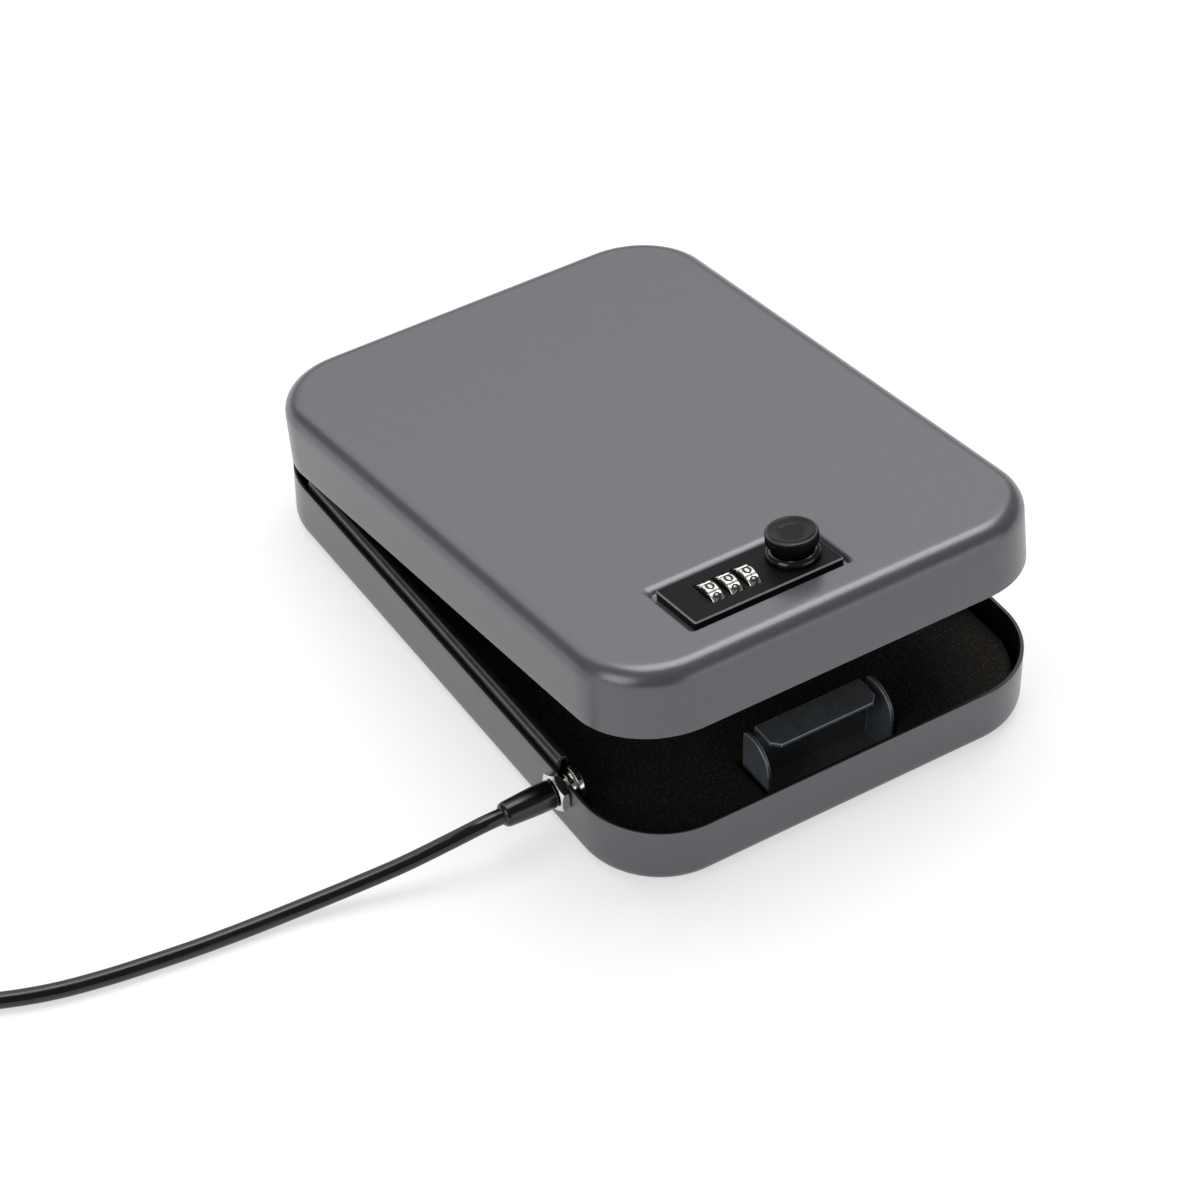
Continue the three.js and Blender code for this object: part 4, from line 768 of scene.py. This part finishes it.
# The painted highlight stays on the tab's edges and the upper part of the ears, and nothing lower:
# the lower edges keep the plain black. These are in metres too.
TAB_EDGE_Z, EAR_HIGHLIGHT_Z, EAR_X = 0.0263, 0.012, 0.0248
for face in strike.data.polygons:
    tab_edge = face.center.z > TAB_EDGE_Z
    ear_edge = face.center.z > EAR_HIGHLIGHT_Z and abs(face.center.x) > EAR_X
    if not (tab_edge or ear_edge):
        face.material_index = 0

# Foam: two pads of open-cell polyurethane, black, die-cut from sheet to fit the tray and the
# lid, and laid in.
PAD_GRID = 1.6
# The walls of the cells catch the light as grey specks on matt black. They are drawn at 0.6 mm,
# about their real width.
foam_cells = new_finish(
    "open_cell_polyurethane",
    grain_mm=0.6,
    colours=("#272523", "#7a7265"),
    roughness=(0.9, 1.0),
    bump_mm=0.1,
    detail=2.0,
    spread=(0.58, 0.78),
    Specular_IOR_Level=0.15,
)


def cut_foam(name, node, body):
    """A pad of foam: the CAD node's form rebuilt on a grid of PAD_GRID, then each point moved
    half way to its neighbours' mean four times, so that the cut edges are soft."""
    mesh = bpy.data.meshes.new(name)
    work = bmesh.new()
    work.from_mesh(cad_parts[node].data)
    bmesh.ops.remove_doubles(work, verts=work.verts, dist=SAME_POINT)
    work.to_mesh(mesh)
    work.free()
    pad = bpy.data.objects.new(name, mesh)
    bpy.context.scene.collection.objects.link(pad)
    remesh = pad.modifiers.new("cells", "REMESH")
    remesh.mode, remesh.voxel_size = "VOXEL", PAD_GRID / 1000
    soften = pad.modifiers.new("soften", "SMOOTH")
    soften.factor, soften.iterations = 0.5, 4
    pad.data = baked_mesh(pad)
    pad.modifiers.clear()
    pad.data.materials.clear()
    pad.data.materials.append(foam_cells)
    pad.data.shade_smooth()
    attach(pad, body)
    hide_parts(node)


cut_foam("tray_liner", "tray_foam", "case")
cut_foam("lid_liner", "lid_foam", "lid")

# Hinge: two leaves of cold-rolled steel, their knuckles rolled in turn round a turned pin behind
# the seam. Each leaf is spot welded inside its shell.
PIN_HALF, PIN_RADIUS, PIN_ROUND, AXIS_GAP = 54.7, 1.2, 0.3, 0.01
for node, name, body in (
    ("hinge_leaf_tray", "tray_leaf", "case"),
    ("hinge_leaf_lid", "lid_leaf", "lid"),
):
    eased_copy(node, name, bare_steel, ease=0.12, body=body)
pin_profile = np.vstack([
    [[AXIS_GAP, -PIN_HALF]],
    arc(PIN_RADIUS - PIN_ROUND, PIN_ROUND - PIN_HALF, PIN_ROUND, -90, 0, steps=4),
    arc(PIN_RADIUS - PIN_ROUND, PIN_HALF - PIN_ROUND, PIN_ROUND, 0, 90, steps=4),
    [[AXIS_GAP, PIN_HALF]],
])
pin_grid = revolved(pin_profile, sides=32)[..., [2, 0, 1]] + [0, HINGE_Y, HINGE_Z]
pin = grid_piece("turned_hinge_pin", pin_grid, [bare_steel])
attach(pin, "case")
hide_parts("hinge_pin")

# Stud and nut: brass, turned, nickel plated. The button stands inside the wall, and the nut
# outside draws its collar against the steel.
COLLAR_FACE = -87.2
NUT_FLATS, NUT_THICKNESS, NUT_BORE, NUT_EASE, NUT_WALL_GAP = 13.0, 3.4, 3.8, 0.3, 0.3
CHAMFER_START, CHAMFER_FALL, CORNER_EASE = 6.1, 0.6, 0.15
# Nickel plated bright over brass: a mirror, a little warm.
bright_nickel = new_finish(
    "bright_nickel_plate",
    grain_mm=1.2,
    colours=("#d9d6cf", "#e4e1da"),
    roughness=(0.12, 0.2),
    bump_mm=0.0006,
    Metallic=1.0,
)
stud_profile = np.vstack([
    [[AXIS_GAP, -4.7]],
    arc(5.6, -3.8, 0.9, -90, 0, steps=6),
    arc(6.3, -2.4, 0.2, 0, 90, steps=3),
    [[4.9, -2.2], [4.9, -0.2], [4.7, 0], [3.5, 0], [3.5, 6.0], [3.2, 6.2], [AXIS_GAP, 6.2]],
])
stud_grid = out_of_the_wall(revolved(stud_profile), COLLAR_FACE)
stud = grid_piece("turned_stud", stud_grid, [bright_nickel])
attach(stud, "case")
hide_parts("cable_stud")
# A hexagon's radius is half its flats over the cosine of the angle from the nearest flat's
# middle. The chamfer is a cone that falls by CHAMFER_FALL for each millimetre outside its start.
# The rows go out from the bore over one face and down to the side, and back in the same way.
hex_angle = np.linspace(0, 2 * math.pi, 144, endpoint=False)
flat_angle = np.mod(hex_angle, math.pi / 3) - math.pi / 6
hexagon = NUT_FLATS / 2 / np.cos(flat_angle)
chamfer = CHAMFER_FALL * (hexagon - CHAMFER_START)
ones = np.ones_like(hexagon)
half_nut = [
    (NUT_BORE * ones, NUT_EASE * ones),
    ((NUT_BORE + NUT_EASE) * ones, 0 * ones),
    (CHAMFER_START * ones, 0 * ones),
    ((CHAMFER_START + hexagon) / 2, chamfer / 2),
    (hexagon, chamfer),
    (hexagon, chamfer + CORNER_EASE),
]
nut_rows = half_nut + [(radius, NUT_THICKNESS - height) for radius, height in half_nut[::-1]]
nut_grid = np.array([
    np.stack([radius * np.cos(hex_angle), radius * np.sin(hex_angle), height], axis=-1)
    for radius, height in nut_rows
])
nut = grid_piece(
    "hexagon_nut",
    out_of_the_wall(nut_grid, -CASE_WIDTH / 2 - NUT_WALL_GAP),
    [bright_nickel],
    closed_rows=True,
    crease=22,
)
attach(nut, "case")
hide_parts("cable_nut")

# Lock housing: faceplate and body are one zinc die casting, blasted and coated semi-matt black.
# Its edges are a little round and catch the light.
lock_casting = new_finish(
    "coated_zinc_casting",
    grain_mm=0.35,
    colours=("#0f1011", "#161719"),
    roughness=(0.36, 0.48),
    bump_mm=0.004,
    Specular_IOR_Level=0.09,
)
# The plate's chamfer in a light grey: a painted highlight for the line of light that the chamfer
# catches.
chamfer_highlight_casting = new_finish(
    "painted_highlight_casting_edge",
    grain_mm=0.8,
    colours=("#77787b", "#97989b"),
    roughness=(0.3, 0.4),
    bump_mm=0.002,
    Metallic=0.3,
)
housing = eased_copy(
    "lock_housing",
    "faceplate_and_body",
    lock_casting,
    ease=0.1,
    body="lid",
)
# The chamfer's faces take the light grey of the painted highlight.
housing.data.materials.append(chamfer_highlight_casting)
normals = np.empty(len(housing.data.polygons) * 3, np.float32)
housing.data.polygons.foreach_get("normal", normals)
# A face of the chamfer leans 26 to 60 degrees away from the plate's own direction.
upward = normals.reshape(-1, 3) @ np.array([0, math.sin(LID_OPEN), math.cos(LID_OPEN)])
on_chamfer = (upward > 0.5) & (upward < 0.9)
housing.data.polygons.foreach_set("material_index", on_chamfer.astype(np.int32))

# Number wheels: zinc, plated bright nickel, ten faces each with a groove between neighbours and
# an engraved black numeral on every face.
WHEEL_PLACES, WHEEL_RADIUS, WHEEL_HALF, WHEEL_BORE = (-34.4, -27.0, -19.6), 8.0, 2.4, 3.5
WHEEL_Z, FACE, GROOVE_DEPTH, GROOVE_HALF = 47.0, math.radians(36), 0.55, math.radians(4)
GROOVE_FOOT, GROOVE_RISE = 6.4, 1.2
# The faces stand 4 degrees further to the front than half way between two clicks.
FACE_LEAD = math.radians(4)
half_section = np.array([
    (0.3 - WHEEL_HALF, WHEEL_BORE), (-WHEEL_HALF, WHEEL_BORE + 0.3), (-WHEEL_HALF, 6.4),
    (-WHEEL_HALF, 7.4), (-2.34, 7.72), (-2.2, 7.9), (-1.95, 7.98), (-1.6, WHEEL_RADIUS),
    (0, WHEEL_RADIUS),
])
wheel_section = np.vstack([half_section, half_section[-2::-1] * [-1, 1]])
# The groove is half a cosine wave, half way between two faces. It runs out below the rim.
wheel_turn = np.linspace(0, 2 * math.pi, 360, endpoint=False)
from_groove = np.abs(np.mod(wheel_turn + FACE_LEAD, FACE) - FACE / 2)
wave = 0.5 + 0.5 * np.cos(from_groove / GROOVE_HALF * math.pi)
groove = GROOVE_DEPTH * np.where(from_groove < GROOVE_HALF, wave, 0)
reach = np.clip((wheel_section[:, 1:] - GROOVE_FOOT) / GROOVE_RISE, 0, 1)
wheel_radius = wheel_section[:, 1:] - reach * groove[None]
# Ink wiped into the engraving: matt black against the nickel. It is drawn as a thin film that
# stands on the face.
numeral_ink = new_finish(
    "engraving_ink_black",
    grain_mm=0.6,
    colours=("#0b0a0a", "#15130f"),
    roughness=(0.45, 0.6),
    bump_mm=0.002,
)
NUMERAL_SIZE, NUMERAL_WEIGHT, NUMERAL_RELIEF, NUMERAL_STRETCH = 5.0, 0.11, 0.03, 1.3
CUT_STEP = 0.25


def numeral_mesh_of(figure):
    """The points and faces of one plain numeral, 3.6 mm high, flat, and cut across every CUT_STEP
    so that it can bend."""
    letter = bpy.data.curves.new("numeral", "FONT")
    letter.body, letter.size = figure, NUMERAL_SIZE
    letter.align_x, letter.align_y = "CENTER", "CENTER"
    letter.offset, letter.extrude, letter.resolution_u = NUMERAL_WEIGHT, NUMERAL_RELIEF, 6
    holder = bpy.data.objects.new("numeral", letter)
    bpy.context.scene.collection.objects.link(holder)
    flat_mesh = baked_mesh(holder)
    bpy.data.objects.remove(holder)
    work = bmesh.new()
    work.from_mesh(flat_mesh)
    bmesh.ops.remove_doubles(work, verts=work.verts, dist=1e-4)
    for height in np.arange(-2, 2.01, CUT_STEP):
        bmesh.ops.bisect_plane(
            work,
            geom=work.verts[:] + work.edges[:] + work.faces[:],
            plane_co=(0, height, 0),
            plane_no=(0, 1, 0),
        )
    bmesh.ops.triangulate(work, faces=work.faces)
    work.to_mesh(flat_mesh)
    work.free()
    points = np.empty(len(flat_mesh.vertices) * 3, np.float32)
    flat_mesh.vertices.foreach_get("co", points)
    faces = np.array([tuple(face.vertices) for face in flat_mesh.polygons])
    points = points.reshape(-1, 3).astype(float)
    points[:, 1] -= (points[:, 1].max() + points[:, 1].min()) / 2
    return points, faces


def on_the_wheel(wheel_x, across, radius, angle):
    """Points across mm along the shaft from the wheel's middle, at that radius and angle from
    the top of the wheel, on the open lid."""
    y = PLATE_Y + radius * np.sin(angle)
    z = WHEEL_Z + radius * np.cos(angle)
    return opened(np.stack([wheel_x + across, y, z], axis=-1))


numerals = [numeral_mesh_of(str(figure)) for figure in range(10)]
for number, wheel_x in enumerate(WHEEL_PLACES, start=1):
    body = f"number_wheel_{number}"
    across = wheel_section[:, :1] + 0 * wheel_turn
    wheel_grid = on_the_wheel(wheel_x, across, wheel_radius, wheel_turn)
    wheel = grid_piece(f"grooved_wheel_{number}", wheel_grid, [bright_nickel], closed_rows=True)
    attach(wheel, body)
    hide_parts(body)
    # Each numeral is bent round the wheel: its height becomes an arc, its thickness a radius.
    places, faces, count = [], [], 0
    for figure, (flat_points, flat_faces) in enumerate(numerals):
        across = NUMERAL_STRETCH * flat_points[:, 0]
        radius = WHEEL_RADIUS + flat_points[:, 2]
        angle = figure * FACE - FACE_LEAD + flat_points[:, 1] / WHEEL_RADIUS
        places.append(on_the_wheel(wheel_x, across, radius, angle))
        faces.append(flat_faces + count)
        count += len(flat_points)
    numeral_mesh = bpy.data.meshes.new(f"wheel_numerals_{number}")
    numeral_mesh.from_pydata(np.vstack(places) / 1000, [], np.vstack(faces).tolist())
    numeral_mesh.materials.append(numeral_ink)
    figures = bpy.data.objects.new(f"wheel_numerals_{number}", numeral_mesh)
    bpy.context.scene.collection.objects.link(figures)
    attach(figures, body)

# Knob and bezel: glass-filled nylon, moulded glossy black. The cap is knurled and its top
# dished inside a plain ring; the neck turns in the fixed bezel.
KNOB_X = -0.6
KNURLS, KNURL_DEPTH, KNURL_STEPS = 90, 0.22, 6
KNURL_BOTTOM, KNURL_TOP, CAP_RADIUS = 58.05, 62.15, 9.25
# Glass-filled nylon from a plain mould: black, with a soft gloss.
moulded_black = new_finish(
    "moulded_black_nylon",
    grain_mm=1.2,
    colours=("#0c0c0d", "#111112"),
    roughness=(0.16, 0.24),
    bump_mm=0.004,
    Specular_IOR_Level=0.2,
)
# The bezel and the knob's rim come glossy out of a polished part of the mould.
polished_black = new_finish(
    "polished_black_nylon",
    grain_mm=3,
    colours=("#0b0b0c", "#0f0f10"),
    roughness=(0.09, 0.13),
    bump_mm=0.001,
    Specular_IOR_Level=0.6,
)
# The knob's flat middle is left matt from the mould.
matt_black = new_finish(
    "matt_black_nylon",
    grain_mm=0.6,
    colours=("#101110", "#181917"),
    roughness=(0.4, 0.5),
    bump_mm=0.004,
    Specular_IOR_Level=0.15,
)
knob_profile = np.vstack([
    [[3.3, 52.9], [3.5, 52.7], [6.3, 52.7], [6.5, 52.9], [6.5, 55.6]],
    arc(7.7, 56.6, 1.2, 180, 100, steps=5),
    [[8.3, 57.95], [8.75, KNURL_BOTTOM], [9.1, 58.3]],
    [[CAP_RADIUS, 58.6], [CAP_RADIUS, 59.5], [CAP_RADIUS, 61.2], [CAP_RADIUS, 61.7]],
    [[9.17, 62.05], [8.95, 62.3], [8.65, 62.4], [8.35, 62.36], [8.0, 62.24]],
    [[7.2, 62.04], [6.4, 61.92], [5.6, 61.85], [5.25, 61.84], [5.0, 61.8], [4.85, 61.68]],
    [[4.7, 61.62], [4.4, 61.6], [3.0, 61.6], [1.5, 61.6], [0.05, 61.6]],
])
# Knurl: rounded ridges, the radius falling between them by the square of a sine. They run out
# over the cap's lower and upper edge.
knurl_turn = np.linspace(0, 2 * math.pi, KNURLS * KNURL_STEPS, endpoint=False)
ridge = KNURL_DEPTH * np.sin(KNURLS / 2 * knurl_turn) ** 2
grip = np.clip((knob_profile[:, 1] - KNURL_BOTTOM) / 0.4, 0, 1)
grip *= np.clip((KNURL_TOP - knob_profile[:, 1]) / 0.25, 0, 1)
grip *= knob_profile[:, 0] > 9
knob_radius = knob_profile[:, :1] - grip[:, None] * ridge[None]
knob_grid = np.stack(
    [
        KNOB_X + knob_radius * np.cos(knurl_turn),
        PLATE_Y + knob_radius * np.sin(knurl_turn),
        knob_profile[:, 1:] + 0 * knurl_turn,
    ],
    axis=-1,
)
flat_middle = (knob_profile[:-1, 0] < 4.6) & (knob_profile[:-1, 1] > 61)
rim = (knob_profile[:-1, 0] > 8.5) & (knob_profile[:-1, 1] > 62)
knob = grid_piece(
    "knurled_knob",
    opened(knob_grid),
    [moulded_black, matt_black, polished_black],
    bands=flat_middle + 2 * rim,
    crease=60,
)
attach(knob, "knob")
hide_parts("knob")
# The bezel's shoulder is a quarter of an ellipse.
SHOULDER_WIDTH, SHOULDER_HEIGHT = 2.6, 2.3
shoulder = np.radians(np.linspace(0, 90, 15))
bezel_profile = np.vstack([
    [[6.8, 52.9], [7.0, 52.7], [9.5, 52.7], [9.7, 52.9]],
    np.stack(
        [7.1 + SHOULDER_WIDTH * np.cos(shoulder), 53.6 + SHOULDER_HEIGHT * np.sin(shoulder)],
        axis=-1,
    ),
    [[6.9, 55.8], [6.8, 55.5]],
])
bezel_grid = revolved(bezel_profile, sides=128) + [KNOB_X, PLATE_Y, 0]
bezel = grid_piece("knob_neck_bezel", opened(bezel_grid), [polished_black], closed_rows=True)
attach(bezel, "lid")
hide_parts("knob_bezel")

# Inside the lock: steel shaft, fence, comb spring, spindle, crank and latch, brass sleeves and
# a nylon rear cover held by four screws. The steel parts are stamped or turned and left bare.
COVER_SCREWS = 4
# Brass, turned: warm yellow and satin. The tool's marks are drawn coarser than they are.
sleeve_brass = new_finish(
    "machined_brass",
    grain_mm=0.7,
    colours=("#a6823f", "#b99653"),
    roughness=(0.29, 0.38),
    bump_mm=0.003,
    Metallic=1.0,
)
# Nylon from a spark-eroded mould: black and matt, with a fine grain.
cover_nylon = new_finish(
    "textured_black_nylon",
    grain_mm=0.5,
    colours=("#131314", "#1c1c1e"),
    roughness=(0.5, 0.66),
    bump_mm=0.02,
    IOR=1.53,
)
for node, ease, body in (
    ("fence_bar", 0.12, "lid"),
    ("comb_spring", 0.08, "lid"),
    ("latch_crank", 0.12, "knob"),
    ("latch_hook", 0.3, "latch"),
    ("code_change_lever", 0.2, "code_lever"),
    *((f"cover_screw_{number}", 0.12, "lid") for number in range(1, COVER_SCREWS + 1)),
):
    eased_copy(node, node + "_steel", bare_steel, ease=ease, body=body)
eased_copy(
    "lock_rear_cover", "rear_cover", cover_nylon, ease=0.4, body="lid"
)
for material, nodes in (
    (bare_steel, ("wheel_shaft", "knob_spindle", "crank_roll_pin")),
    (sleeve_brass, ("clutch_sleeve_1", "clutch_sleeve_2", "clutch_sleeve_3")),
):
    for node in nodes:
        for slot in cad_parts[node].material_slots:
            slot.material = material
